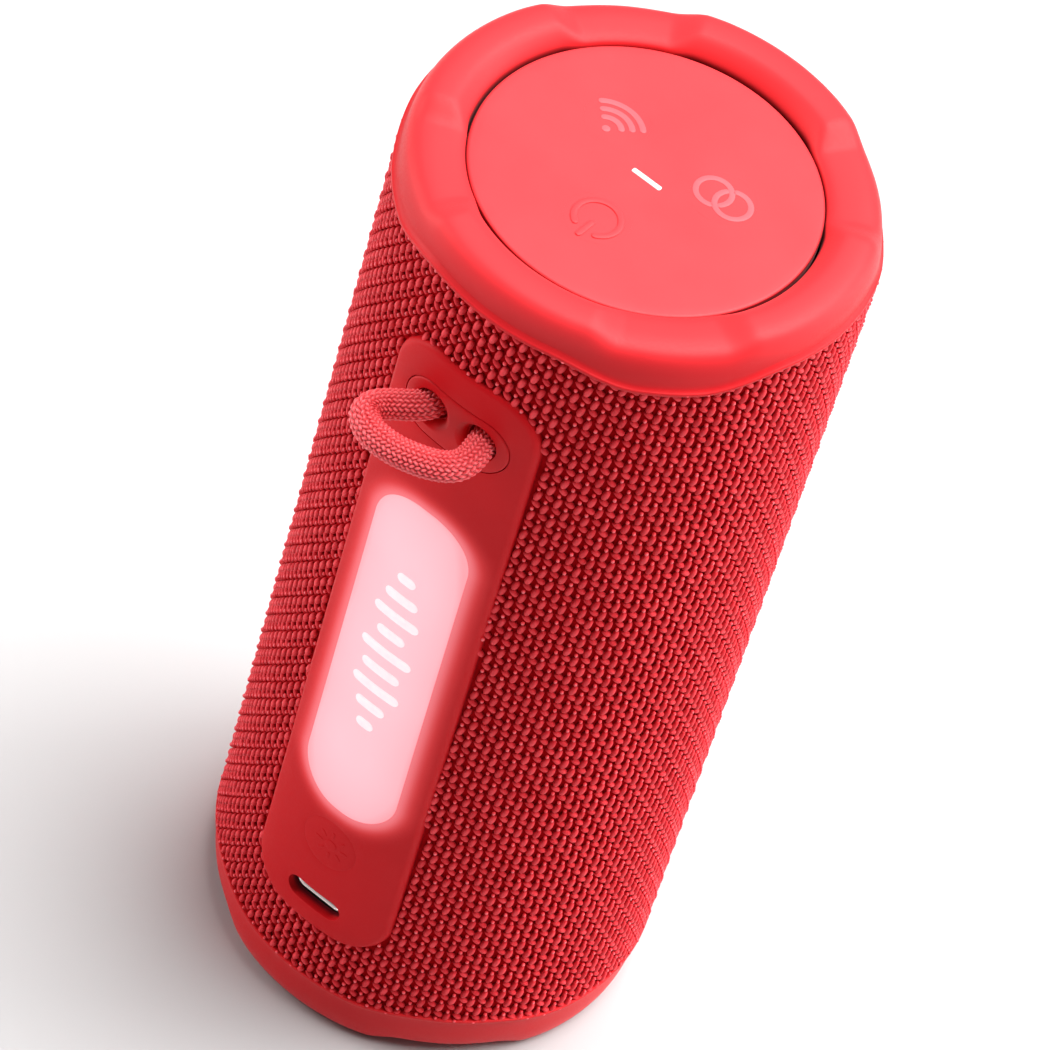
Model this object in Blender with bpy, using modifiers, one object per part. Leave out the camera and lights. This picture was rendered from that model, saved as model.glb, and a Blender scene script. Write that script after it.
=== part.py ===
"""Portable cylinder speaker: rubber end rings, knitted sleeve, rear light panel, keys, driver and radiator.

Metres, +Z up. The origin is the centre of the base, between the lobes that the speaker stands on.
The rear panel with the lanyard and the charging socket faces -Y, and the driver faces +Y.
Run with: blender --background --python part.py
"""
import math

import bmesh
import bpy
from mathutils import Matrix, Vector

MM = 0.001
GAP = 0.3 * MM                       # between pieces that touch

# Driving dimensions
HEIGHT = 165.0 * MM                  # over the lobes of both end rings
HOUSING_OUTER = 33.0 * MM            # radius of the rigid housing tube
HOUSING_INNER = 31.0 * MM
SLEEVE_INNER = HOUSING_OUTER + GAP
SLEEVE_OUTER = 34.4 * MM
PANEL_OUTER = 35.2 * MM              # the rear panel and the front keys stand this far out
TUBE_BOTTOM = 13.0 * MM
TUBE_TOP = 152.0 * MM
SPLIT_Y = 16.0 * MM                  # the grille is the part of the tube in front of this plane

# End rings: four raised lobes and four shallow scoops between them. A section is a list of
# (radius, depth from the end plane) in millimetres, from the crest down its outer side to the rim.
LOBE_SECTION = [(28.2, 0.0), (30.6, 0.0), (32.6, 1.0), (33.8, 2.7), (34.2, 4.9)]
SCOOP_SECTION = [(28.2, 1.65), (30.6, 1.6), (32.5, 1.95), (33.6, 3.1), (34.15, 5.1)]
LOBE_INNER = [(25.75, 1.8), (26.6, 0.7)]
SCOOP_INNER = [(25.75, 2.4), (26.6, 2.0)]
RING_FLOOR = [(32.4, 9.6), (27.2, 9.6), (25.75, 8.0)]
RIM_OUTER = 34.9
RIM_INNER = 32.9
RIM_HEIGHT = 0.7
TOP_RIM_DEPTHS = (6.0, 8.3)          # at a lobe, and at a scoop
BOTTOM_RIM_DEPTHS = (9.6, 10.9)
WALL_SHARE = (0.0, 0.0, 0.25, 0.7, 1.0)   # how far each point of a section follows the rim's slow wave
SCOOP_HALF_ANGLE = math.radians(21.5)
SCOOP_BLEND = math.radians(8.0)
WALL_HALF_ANGLE = math.radians(29.0)
WALL_BLEND = math.radians(22.0)
RING_STEPS = 72

# Rear panel, as seen along +Y
PANEL_HALF_WIDTH = 12.75 * MM
PANEL_LOW = 21.3 * MM
PANEL_HIGH = 147.3 * MM
PANEL_CORNER = 8.0 * MM
WINDOW_HALF_WIDTH = 8.5 * MM
WINDOW_LOW = 49.3 * MM
WINDOW_HIGH = 118.5 * MM
WINDOW_CORNER = 7.8 * MM
PLATE_HALF_WIDTH = 9.2 * MM
PLATE_HALF_HEIGHT = 4.8 * MM
PLATE_Z = 136.7 * MM
LANYARD_X = 4.4 * MM
LANYARD_Z = 136.9 * MM
LIGHT_KEY_Z = 41.0 * MM
LIGHT_KEY_RADIUS = 4.9 * MM
USB_Z = 27.4 * MM
USB_SLOT_HALF_WIDTH = 4.98 * MM
USB_SLOT_HALF_HEIGHT = 2.0 * MM
USB_SHELL_HALF_WIDTH = 4.47 * MM
USB_SHELL_HALF_HEIGHT = 1.6 * MM

# Top controls
DISC_RADIUS = 25.4 * MM
DISC_TOP = 162.4 * MM
DISC_THICKNESS = 2.0 * MM
TOP_KEY_RADIUS = 4.8 * MM
TOP_KEYS = {"power": (11.2 * MM, -90.0), "pairing": (11.3 * MM, 150.0), "link": (10.9 * MM, 30.0)}
STATUS_HALF_WIDTH = 2.5 * MM
STATUS_HALF_HEIGHT = 0.43 * MM

# Front keys, one above the other
FRONT_KEY_RADIUS = 4.9 * MM
FRONT_KEYS = {"volume_down_key": 118.0 * MM, "play_key": 129.5 * MM, "volume_up_key": 141.0 * MM}

# Loudspeaker, facing +Y
DRIVER_Z = 70.0 * MM
DRIVER_STEPS = 24

# Lanyard: cord diameter and the points that its centre line passes through
CORD_DIAMETER = 4.6 * MM
CORD_ROUTE = [
    (-4.4, -30.3, 136.9), (-4.4, -31.6, 136.9), (-4.5, -32.9, 136.85), (-4.85, -34.2, 136.75),
    (-5.7, -35.4, 136.6), (-6.8, -36.4, 136.4), (-8.0, -37.3, 136.15), (-9.3, -38.3, 135.85),
    (-10.3, -39.5, 135.6), (-10.5, -40.9, 135.4), (-9.7, -42.2, 135.3), (-8.1, -43.1, 135.2),
    (-5.8, -43.4, 135.2), (-3.3, -43.2, 135.2), (-0.9, -42.6, 135.3), (1.3, -41.8, 135.45),
    (3.2, -40.7, 135.6), (4.5, -39.3, 135.8), (5.0, -37.6, 136.05), (4.85, -35.8, 136.35),
    (4.55, -34.0, 136.65), (4.4, -32.2, 136.85), (4.4, -30.3, 136.9),
]

# Facets around a round shape
WIDE_STEPS = 56
ROUND_STEPS = 36
SMALL_STEPS = 24
SCREW_STEPS = 10

RED = (0.72, 0.035, 0.045, 1.0)
DARK = (0.03, 0.03, 0.035, 1.0)
GREY = (0.25, 0.25, 0.27, 1.0)
STEEL = (0.6, 0.6, 0.62, 1.0)
BOARD = (0.02, 0.12, 0.06, 1.0)
LIGHT = (1.0, 0.62, 0.66, 1.0)
COPPER = (0.7, 0.3, 0.15, 1.0)


# ---------------------------------------------------------------- scene and materials

def clear_scene():
    for item in list(bpy.data.objects):
        bpy.data.objects.remove(item, do_unlink=True)


def make_collection(name):
    group = bpy.data.collections.new(name)
    bpy.context.scene.collection.children.link(group)
    return group


def material(name, color, roughness, metallic=0.0):
    skin = bpy.data.materials.new(name)
    skin.use_nodes = True
    shader = skin.node_tree.nodes["Principled BSDF"]
    shader.inputs["Base Color"].default_value = color
    shader.inputs["Roughness"].default_value = roughness
    shader.inputs["Metallic"].default_value = metallic
    return skin


clear_scene()
PARTS = make_collection("cylinder_speaker")
CUTTERS = make_collection("cutters")


def finish_mesh(name, bm, look=None):
    """Store a bmesh as a named part, or as a cutter when it has no look."""
    bmesh.ops.recalc_face_normals(bm, faces=bm.faces)
    mesh = bpy.data.meshes.new(name)
    bm.to_mesh(mesh)
    bm.free()
    item = bpy.data.objects.new(name, mesh)
    if look is None:
        item.hide_render = True
        item.display_type = "WIRE"
        CUTTERS.objects.link(item)
    else:
        mesh.materials.append(material(name, *look))
        mesh.shade_smooth()
        mesh.set_sharp_from_angle(angle=math.radians(35))
        PARTS.objects.link(item)
    return item


def boolean(item, cutter, operation="DIFFERENCE"):
    step = item.modifiers.new(operation.lower(), "BOOLEAN")
    step.operation = operation
    step.solver = "EXACT"
    step.object = cutter


# ---------------------------------------------------------------- basic shapes

def box(name, low, high, look=None, bevel=0.0):
    """A box between two corners in millimetres."""
    bm = bmesh.new()
    size = [(b - a) * MM for a, b in zip(low, high)]
    middle = [(a + b) * MM / 2 for a, b in zip(low, high)]
    place = Matrix.Translation(middle) @ Matrix.Diagonal((*size, 1.0))
    bmesh.ops.create_cube(bm, size=1.0, matrix=place)
    item = finish_mesh(name, bm, look)
    if bevel:
        edge = item.modifiers.new("edges", "BEVEL")
        edge.width = bevel * MM
        edge.segments = 1
    return item


def cylinder(name, radius, start, end, look=None, segments=SMALL_STEPS, end_radius=None):
    """A cylinder or cone between two points in metres."""
    start = Vector(start)
    end = Vector(end)
    along = end - start
    bm = bmesh.new()
    turn = along.to_track_quat("Z", "Y").to_matrix().to_4x4()
    place = Matrix.Translation((start + end) / 2) @ turn
    bmesh.ops.create_cone(bm, cap_ends=True, segments=segments, radius1=radius,
                          radius2=radius if end_radius is None else end_radius,
                          depth=along.length, matrix=place)
    return finish_mesh(name, bm, look)


def turned(name, profile, look=None, segments=ROUND_STEPS, along_y=False, centre=(0.0, 0.0, 0.0)):
    """Turn a closed profile of (radius, height) points in millimetres about its axis.

    The profile runs down its outer side. Points on the axis make a solid without a hole.
    """
    mesh = bpy.data.meshes.new(name)
    points = [(radius * MM, 0.0, height * MM) for radius, height in profile]
    edges = [(i, i + 1) for i in range(len(points) - 1)]
    if profile[0][0] > 0:
        edges.append((len(points) - 1, 0))
    mesh.from_pydata(points, edges, [])
    item = bpy.data.objects.new(name, mesh)
    screw = item.modifiers.new("turn", "SCREW")
    screw.steps = segments
    screw.render_steps = segments
    screw.use_merge_vertices = True
    screw.merge_threshold = 0.00001
    if along_y:
        item.rotation_euler = (math.radians(-90.0), 0.0, 0.0)
    item.location = centre
    if look is None:
        item.hide_render = True
        item.display_type = "WIRE"
        CUTTERS.objects.link(item)
    else:
        mesh.materials.append(material(name, *look))
        PARTS.objects.link(item)
    return item


def tube(name, inner, outer, low, high, look, segments=WIDE_STEPS):
    """An upright tube. Its radii and heights are in metres."""
    ends = [(outer, high), (outer, low), (inner, low), (inner, high)]
    return turned(name, [(r / MM, z / MM) for r, z in ends], look, segments)


def rounded_outline(half_width, low, high, corner, steps=6):
    """Points (x, z) of an upright rectangle with round corners, centred on x = 0."""
    points = []
    corners = [(half_width - corner, high - corner), (corner - half_width, high - corner),
               (corner - half_width, low + corner), (half_width - corner, low + corner)]
    for quarter, (x, z) in enumerate(corners):
        for step in range(steps + 1):
            angle = math.radians(90.0 * (quarter + step / steps))
            points.append((x + corner * math.cos(angle), z + corner * math.sin(angle)))
    return points


def prism(name, outline, low_y, high_y, look=None):
    """Extrude an outline of (x, z) points along Y."""
    bm = bmesh.new()
    face = bm.faces.new([bm.verts.new((x, low_y, z)) for x, z in outline])
    out = bmesh.ops.extrude_face_region(bm, geom=[face])
    moved = [v for v in out["geom"] if isinstance(v, bmesh.types.BMVert)]
    bmesh.ops.translate(bm, verts=moved, vec=(0.0, high_y - low_y, 0.0))
    bmesh.ops.remove_doubles(bm, verts=bm.verts, dist=0.000001)
    return finish_mesh(name, bm, look)


def loft(name, sections, look):
    """Join rings of points, all of one count, into a closed tube-like body."""
    bm = bmesh.new()
    rings = [[bm.verts.new(point) for point in section] for section in sections]
    count = len(rings[0])
    for ring, following in zip(rings, rings[1:] + rings[:1]):
        for i in range(count):
            j = (i + 1) % count
            bm.faces.new((ring[i], ring[j], following[j], following[i]))
    return finish_mesh(name, bm, look)


# ---------------------------------------------------------------- end rings

def lobe_weight(angle, half_angle=SCOOP_HALF_ANGLE, blend=SCOOP_BLEND):
    """1 on the four lobes at 0, 90, 180 and 270 degrees, 0 in the scoops between them."""
    quarter = math.pi / 2
    off_centre = abs((angle % quarter) - quarter / 2)
    t = (off_centre - (half_angle - blend)) / blend
    t = min(max(t, 0.0), 1.0)
    return t * t * (3.0 - 2.0 * t)


def mixed(scoop, lobe, weight):
    return scoop + (lobe - scoop) * weight


def rim_depth(depths, angle):
    return mixed(depths[1], depths[0], lobe_weight(angle, WALL_HALF_ANGLE, WALL_BLEND))


def ring_section(angle, rim_depths, floor):
    """(radius, depth) in millimetres, all the way around the ring's section at an angle."""
    weight = lobe_weight(angle)
    wide = lobe_weight(angle, WALL_HALF_ANGLE, WALL_BLEND)
    outer = []
    for scoop, lobe, share in zip(SCOOP_SECTION, LOBE_SECTION, WALL_SHARE):
        local = mixed(weight, wide, share)
        outer.append(tuple(mixed(a, b, local) for a, b in zip(scoop, lobe)))
    inner = [tuple(mixed(a, b, weight) for a, b in zip(*pair)) for pair in zip(SCOOP_INNER, LOBE_INNER)]
    rim = rim_depth(rim_depths, angle)
    edge = [(RIM_OUTER, rim - RIM_HEIGHT), (RIM_OUTER, rim), (RIM_INNER, rim)]
    return outer + edge + floor + inner


def swept(name, section_at, look, steps=RING_STEPS):
    """Sweep a section of (radius, height) in millimetres around Z. It may change with the angle."""
    sections = []
    for step in range(steps):
        angle = 2.0 * math.pi * step / steps
        sections.append([(radius * MM * math.cos(angle), radius * MM * math.sin(angle), z * MM)
                         for radius, z in section_at(angle)])
    return loft(name, sections, look)


def rings():
    top = HEIGHT / MM
    swept("bottom_ring", lambda angle: ring_section(angle, BOTTOM_RIM_DEPTHS, RING_FLOOR), (RED, 0.5))
    swept("top_ring", lambda angle: [(radius, top - depth) for radius, depth in ring_section(
        angle, TOP_RIM_DEPTHS, RING_FLOOR)], (RED, 0.5))


# ---------------------------------------------------------------- housing

def through_y(name, radius, x, z, low_y, high_y, segments=SMALL_STEPS):
    return cylinder(name, radius, (x, low_y, z), (x, high_y, z), segments=segments)


REAR_CUT = (-40.0 * MM, -24.0 * MM)
FRONT_CUT = (20.0 * MM, 40.0 * MM)
GRILLE_ROWS = 8
GRILLE_LOW = 29.0
GRILLE_PITCH = 10.6
GRILLE_SLOT = 7.2
BOSS_X = 23.5
BOSS_HEIGHTS = (27.0, 146.0)
BOSS_HOLE = 1.4 * MM


def rear_housing():
    shell = tube("rear_housing", HOUSING_INNER, HOUSING_OUTER, TUBE_BOTTOM, TUBE_TOP, (DARK, 0.6))
    boolean(shell, box("housing_front_cut", (-40, SPLIT_Y / MM, 0), (40, 40, 170)))
    inset = 0.6 * MM
    boolean(shell, prism("housing_window_cut", rounded_outline(
        WINDOW_HALF_WIDTH - inset, WINDOW_LOW + inset, WINDOW_HIGH - inset, WINDOW_CORNER), *REAR_CUT))
    boolean(shell, prism("housing_usb_cut", rounded_outline(
        USB_SHELL_HALF_WIDTH + GAP, USB_Z - USB_SHELL_HALF_HEIGHT - GAP,
        USB_Z + USB_SHELL_HALF_HEIGHT + GAP, USB_SHELL_HALF_HEIGHT + GAP - 0.00001), *REAR_CUT))
    boolean(shell, through_y("housing_key_cut", LIGHT_KEY_RADIUS + GAP, 0.0, LIGHT_KEY_Z, *REAR_CUT))
    for side, x in (("left", -LANYARD_X), ("right", LANYARD_X)):
        boolean(shell, through_y("housing_cord_cut_" + side, 2.9 * MM, x, LANYARD_Z, *REAR_CUT))
    for side in (-1, 1):
        for height in BOSS_HEIGHTS:
            edges = sorted((side * 20.5, side * 29.8))
            block = box("boss_%d_%d" % (side, height), (edges[0], 3.0, height - 3.2),
                        (edges[1], 12.2, height + 3.2))
            boolean(shell, block, "UNION")
            boolean(shell, through_y("boss_hole_%d_%d" % (side, height), BOSS_HOLE,
                                     side * BOSS_X * MM, height * MM, 5.0 * MM, 20.0 * MM, SCREW_STEPS))


def front_grille():
    grille = tube("front_grille", HOUSING_INNER, HOUSING_OUTER, TUBE_BOTTOM, TUBE_TOP, (DARK, 0.6))
    boolean(grille, box("grille_rear_cut", (-40, -40, 0), (40, SPLIT_Y / MM + 0.3, 170)))
    for row in range(GRILLE_ROWS):
        low = GRILLE_LOW + GRILLE_PITCH * row
        half = 12.0 if row in (0, GRILLE_ROWS - 1) else 17.0
        boolean(grille, box("grille_slot_%d" % row, (-half, 20, low), (half, 40, low + GRILLE_SLOT)))
    for name, z in FRONT_KEYS.items():
        boolean(grille, through_y("grille_cut_" + name, FRONT_KEY_RADIUS + GAP, 0.0, z, *FRONT_CUT))


def front_baffle():
    baffle = box("front_baffle", (-26.6, 12.5, 16.9), (26.6, 14.6, 149.0), (DARK, 0.6))
    boolean(baffle, prism("baffle_driver_cut", stadium_outline(38.0, 74.0), 0.0, 30.0 * MM))
    for side in (-1, 1):
        for height in BOSS_HEIGHTS:
            boolean(baffle, through_y("baffle_hole_%d_%d" % (side, height), BOSS_HOLE,
                                      side * BOSS_X * MM, height * MM, 5.0 * MM, 20.0 * MM, SCREW_STEPS))


def baffle_screws():
    number = 0
    for side in (-1, 1):
        for height in BOSS_HEIGHTS:
            number += 1
            turned("baffle_screw_%d" % number,
                   [(0.0, 16.4), (1.6, 16.4), (2.3, 15.8), (2.3, 14.9), (1.1, 14.9), (1.1, 6.5), (0.0, 5.6)],
                   (STEEL, 0.35, 1.0), SCREW_STEPS, True, (side * BOSS_X * MM, 0.0, height * MM))


def bulkheads():
    turned("top_bulkhead",
           [(0.0, 151.9), (30.7, 151.9), (30.7, 151.35), (29.4, 151.35), (29.4, 150.05), (30.7, 150.05),
            (30.7, 149.3), (0.0, 149.3)], (DARK, 0.6))
    turned("top_seal", [(30.8, 151.05), (30.8, 150.35), (29.7, 150.35), (29.7, 151.05)], (GREY, 0.8))
    turned("bottom_bulkhead",
           [(30.7, 16.6), (30.7, 15.5), (29.4, 15.5), (29.4, 14.2), (30.7, 14.2), (30.7, 12.7),
            (32.2, 12.7), (32.2, 10.0), (22.3, 10.0), (22.3, 12.7), (27.5, 12.7), (27.5, 16.6)], (DARK, 0.6))
    turned("bottom_seal", [(30.8, 15.2), (30.8, 14.5), (29.7, 14.5), (29.7, 15.2)], (GREY, 0.8))


def sleeve_section(angle):
    """The sleeve's wall, whose ends follow the rims of both rings."""
    gap = GAP / MM
    low = rim_depth(BOTTOM_RIM_DEPTHS, angle) + gap
    high = HEIGHT / MM - rim_depth(TOP_RIM_DEPTHS, angle) - gap
    return [(SLEEVE_OUTER / MM, high), (SLEEVE_OUTER / MM, low), (SLEEVE_INNER / MM, low),
            (SLEEVE_INNER / MM, high)]


def fabric_sleeve():
    sleeve = swept("fabric_sleeve", sleeve_section, (RED, 0.9))
    boolean(sleeve, prism("sleeve_panel_cut", rounded_outline(
        PANEL_HALF_WIDTH + GAP, PANEL_LOW - GAP, PANEL_HIGH + GAP, PANEL_CORNER + GAP), *REAR_CUT))
    for name, z in FRONT_KEYS.items():
        boolean(sleeve, through_y("sleeve_cut_" + name, FRONT_KEY_RADIUS + GAP, 0.0, z, *FRONT_CUT))


# ---------------------------------------------------------------- rear panel

def curved_piece(name, outline, look, inner=SLEEVE_INNER, outer=PANEL_OUTER):
    """The part of an upright tube that an outline of (x, z) points leaves, on the -Y side."""
    piece = tube(name, inner, outer, PANEL_LOW - 5 * MM, PANEL_HIGH + 5 * MM, look)
    boolean(piece, prism(name + "_outline", outline, *REAR_CUT), "INTERSECT")
    return piece


def cord_hole(owner, side, x):
    """A countersunk hole for one end of the lanyard."""
    return cylinder("%s_cord_hole_%s" % (owner, side), 2.6 * MM, (x, -31.0 * MM, LANYARD_Z),
                    (x, -37.0 * MM, LANYARD_Z), end_radius=4.9 * MM)


def rear_panel():
    panel = curved_piece("rear_panel", rounded_outline(
        PANEL_HALF_WIDTH, PANEL_LOW, PANEL_HIGH, PANEL_CORNER), (RED, 0.55))
    cuts = {
        "window": (WINDOW_HALF_WIDTH + GAP, WINDOW_LOW - GAP, WINDOW_HIGH + GAP, WINDOW_CORNER + GAP),
        "plate": (PLATE_HALF_WIDTH + GAP, PLATE_Z - PLATE_HALF_HEIGHT - GAP,
                  PLATE_Z + PLATE_HALF_HEIGHT + GAP, PLATE_HALF_HEIGHT + GAP - 0.00001),
        "usb": (USB_SLOT_HALF_WIDTH, USB_Z - USB_SLOT_HALF_HEIGHT, USB_Z + USB_SLOT_HALF_HEIGHT,
                USB_SLOT_HALF_HEIGHT - 0.00001),
    }
    for name, shape in cuts.items():
        boolean(panel, prism("panel_%s_cut" % name, rounded_outline(*shape), *REAR_CUT))
    boolean(panel, through_y("panel_key_cut", LIGHT_KEY_RADIUS + GAP, 0.0, LIGHT_KEY_Z, *REAR_CUT))


def light_window():
    curved_piece("light_window", rounded_outline(WINDOW_HALF_WIDTH, WINDOW_LOW, WINDOW_HIGH, WINDOW_CORNER),
                 (LIGHT, 0.4))


def light_key():
    key = cylinder("light_key", LIGHT_KEY_RADIUS, (0.0, -31.3 * MM, LIGHT_KEY_Z),
                   (0.0, -36.0 * MM, LIGHT_KEY_Z), (RED, 0.55))
    boolean(key, turned("light_key_face", [(0.0, 60.0), (PANEL_OUTER / MM, 60.0), (PANEL_OUTER / MM, 20.0),
                                           (0.0, 20.0)], None, WIDE_STEPS), "INTERSECT")


def lights():
    """The board behind the window, with its row of lamps and the light key's switch soldered on."""
    board = box("light_board", (-7.0, -29.2, 36.0), (7.0, -28.2, 118.0), (BOARD, 0.5))
    height = LIGHT_KEY_Z / MM
    boolean(board, box("light_switch", (-2.25, -30.8, height - 2.25), (2.25, -28.7, height + 2.25)), "UNION")
    box("light_led_bar", (-1.75, -30.7, 54.0), (1.75, -29.5, 114.0), (LIGHT, 0.3), 0.2)


def charging_socket():
    shell = prism("usb_shell", rounded_outline(
        USB_SHELL_HALF_WIDTH, USB_Z - USB_SHELL_HALF_HEIGHT, USB_Z + USB_SHELL_HALF_HEIGHT,
        USB_SHELL_HALF_HEIGHT - 0.00001), -33.2 * MM, -25.7 * MM, (STEEL, 0.25, 1.0))
    wall = 0.3 * MM
    boolean(shell, prism("usb_shell_cut", rounded_outline(
        USB_SHELL_HALF_WIDTH - wall, USB_Z - USB_SHELL_HALF_HEIGHT + wall,
        USB_Z + USB_SHELL_HALF_HEIGHT - wall, USB_SHELL_HALF_HEIGHT - wall - 0.00001), *REAR_CUT))
    middle = USB_Z / MM
    box("usb_tongue", (-3.35, -32.3, middle - 0.35), (3.35, -26.2, middle + 0.35), (DARK, 0.4))
    box("usb_board", (-9.0, -28.5, middle - 3.0), (9.0, -12.0, middle - 2.0), (BOARD, 0.5))


# ---------------------------------------------------------------- lanyard

def smooth_route(points, per_span=1):
    """Catmull-Rom points through a list of points."""
    knots = [Vector(points[0])] + [Vector(p) for p in points] + [Vector(points[-1])]
    route = []
    for i in range(1, len(knots) - 2):
        before, start, end, after = knots[i - 1:i + 3]
        for step in range(per_span):
            t = step / per_span
            route.append(0.5 * (2 * start + (end - before) * t
                                + (2 * before - 5 * start + 4 * end - after) * t ** 2
                                + (3 * start - before - 3 * end + after) * t ** 3))
    route.append(knots[-2])
    return route


def cord(name, points, diameter, look):
    """A round cord along points in millimetres."""
    curve = bpy.data.curves.new(name, "CURVE")
    curve.dimensions = "3D"
    curve.bevel_depth = diameter / 2
    curve.bevel_resolution = 2
    curve.use_fill_caps = True
    line = curve.splines.new("POLY")
    line.points.add(len(points) - 1)
    for point, place in zip(line.points, points):
        point.co = (*(place * MM), 1.0)
    curve.materials.append(material(name, *look))
    item = bpy.data.objects.new(name, curve)
    PARTS.objects.link(item)


def lanyard():
    plate = curved_piece("lanyard_plate", rounded_outline(
        PLATE_HALF_WIDTH, PLATE_Z - PLATE_HALF_HEIGHT, PLATE_Z + PLATE_HALF_HEIGHT,
        PLATE_HALF_HEIGHT - 0.00001), (RED, 0.45))
    for side, x in (("left", -LANYARD_X), ("right", LANYARD_X)):
        boolean(plate, cord_hole("plate", side, x))
    box("lanyard_bracket", (-7.0, -30.0, 131.5), (7.0, -25.0, 142.5), (DARK, 0.6), 0.5)
    cord("lanyard_loop", smooth_route(CORD_ROUTE), CORD_DIAMETER, (RED, 0.8))


# ---------------------------------------------------------------- top controls

def polar(radius, degrees):
    angle = math.radians(degrees)
    return radius * math.cos(angle), radius * math.sin(angle)


def top_controls():
    turned("top_cap",
           [(0.0, 154.0), (22.0, 154.0), (22.0, 160.1), (24.6, 160.1), (24.6, 155.0), (32.2, 155.0),
            (32.2, 152.3), (0.0, 152.3)], (DARK, 0.6))
    board = turned("key_board", [(0.0, 155.3), (21.5, 155.3), (21.5, 154.3), (0.0, 154.3)],
                   (BOARD, 0.5))
    thick = DISC_THICKNESS / MM
    top = DISC_TOP / MM
    disc = turned("control_disc",
                  [(0.0, top), (DISC_RADIUS / MM - 0.3, top), (DISC_RADIUS / MM, top - 0.3),
                   (DISC_RADIUS / MM, top - thick), (0.0, top - thick)], (RED, 0.5), WIDE_STEPS)
    for name, (radius, degrees) in TOP_KEYS.items():
        x, y = polar(radius, degrees)
        boolean(disc, cylinder("disc_cut_" + name, TOP_KEY_RADIUS + GAP, (x, y, DISC_TOP - 5 * MM),
                               (x, y, DISC_TOP + 5 * MM)))
        cap = TOP_KEY_RADIUS / MM
        turned(name + "_key", [(0.0, top), (cap, top), (cap, top - thick), (1.6, top - thick), (1.6, 158.4),
                               (0.0, 158.4)], (RED, 0.5), SMALL_STEPS, False, (x, y, 0.0))
        boolean(board, box(name + "_switch", (x / MM - 2.2, y / MM - 2.2, 155.0),
                           (x / MM + 2.2, y / MM + 2.2, 157.7)), "UNION")
    slot_x = STATUS_HALF_WIDTH + GAP
    slot_y = STATUS_HALF_HEIGHT + GAP
    boolean(disc, box("disc_cut_status", (-slot_x / MM, -slot_y / MM, 150.0), (slot_x / MM, slot_y / MM, 170.0)))
    box("status_light", (-STATUS_HALF_WIDTH / MM, -STATUS_HALF_HEIGHT / MM, 155.6),
        (STATUS_HALF_WIDTH / MM, STATUS_HALF_HEIGHT / MM, top), (LIGHT, 0.3))


# ---------------------------------------------------------------- front keys

def front_keys():
    board = box("front_key_board", (-6.0, 24.0, 113.0), (6.0, 25.0, 146.0), (BOARD, 0.5))
    for name, z in FRONT_KEYS.items():
        height = z / MM
        turned(name, [(0.0, 35.2), (4.3, 35.2), (4.9, 34.6), (4.9, 29.2), (1.8, 29.2), (1.8, 27.8), (0.0, 27.8)],
               (RED, 0.5), SMALL_STEPS, True, (0.0, 0.0, z))
        boolean(board, box(name.replace("_key", "_switch"), (-2.2, 24.5, height - 2.2),
                           (2.2, 27.2, height + 2.2)), "UNION")
    box("front_key_bracket", (-6.0, 14.9, 113.0), (6.0, 23.7, 146.0), (DARK, 0.6), 0.5)


# ---------------------------------------------------------------- loudspeaker

def stadium_outline(width, height, centre_z=DRIVER_Z):
    """DRIVER_STEPS points (x, z) of an upright outline with round ends, in metres."""
    radius = width * MM / 2
    straight = height * MM / 2 - radius
    points = []
    for step in range(DRIVER_STEPS):
        angle = 2.0 * math.pi * (step + 0.5) / DRIVER_STEPS
        lift = straight if math.sin(angle) > 0 else -straight
        points.append((radius * math.cos(angle), centre_z + lift + radius * math.sin(angle)))
    return points


def stadium_ring(width, height, y):
    return [(x, y * MM, z) for x, z in stadium_outline(width, height)]


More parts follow.
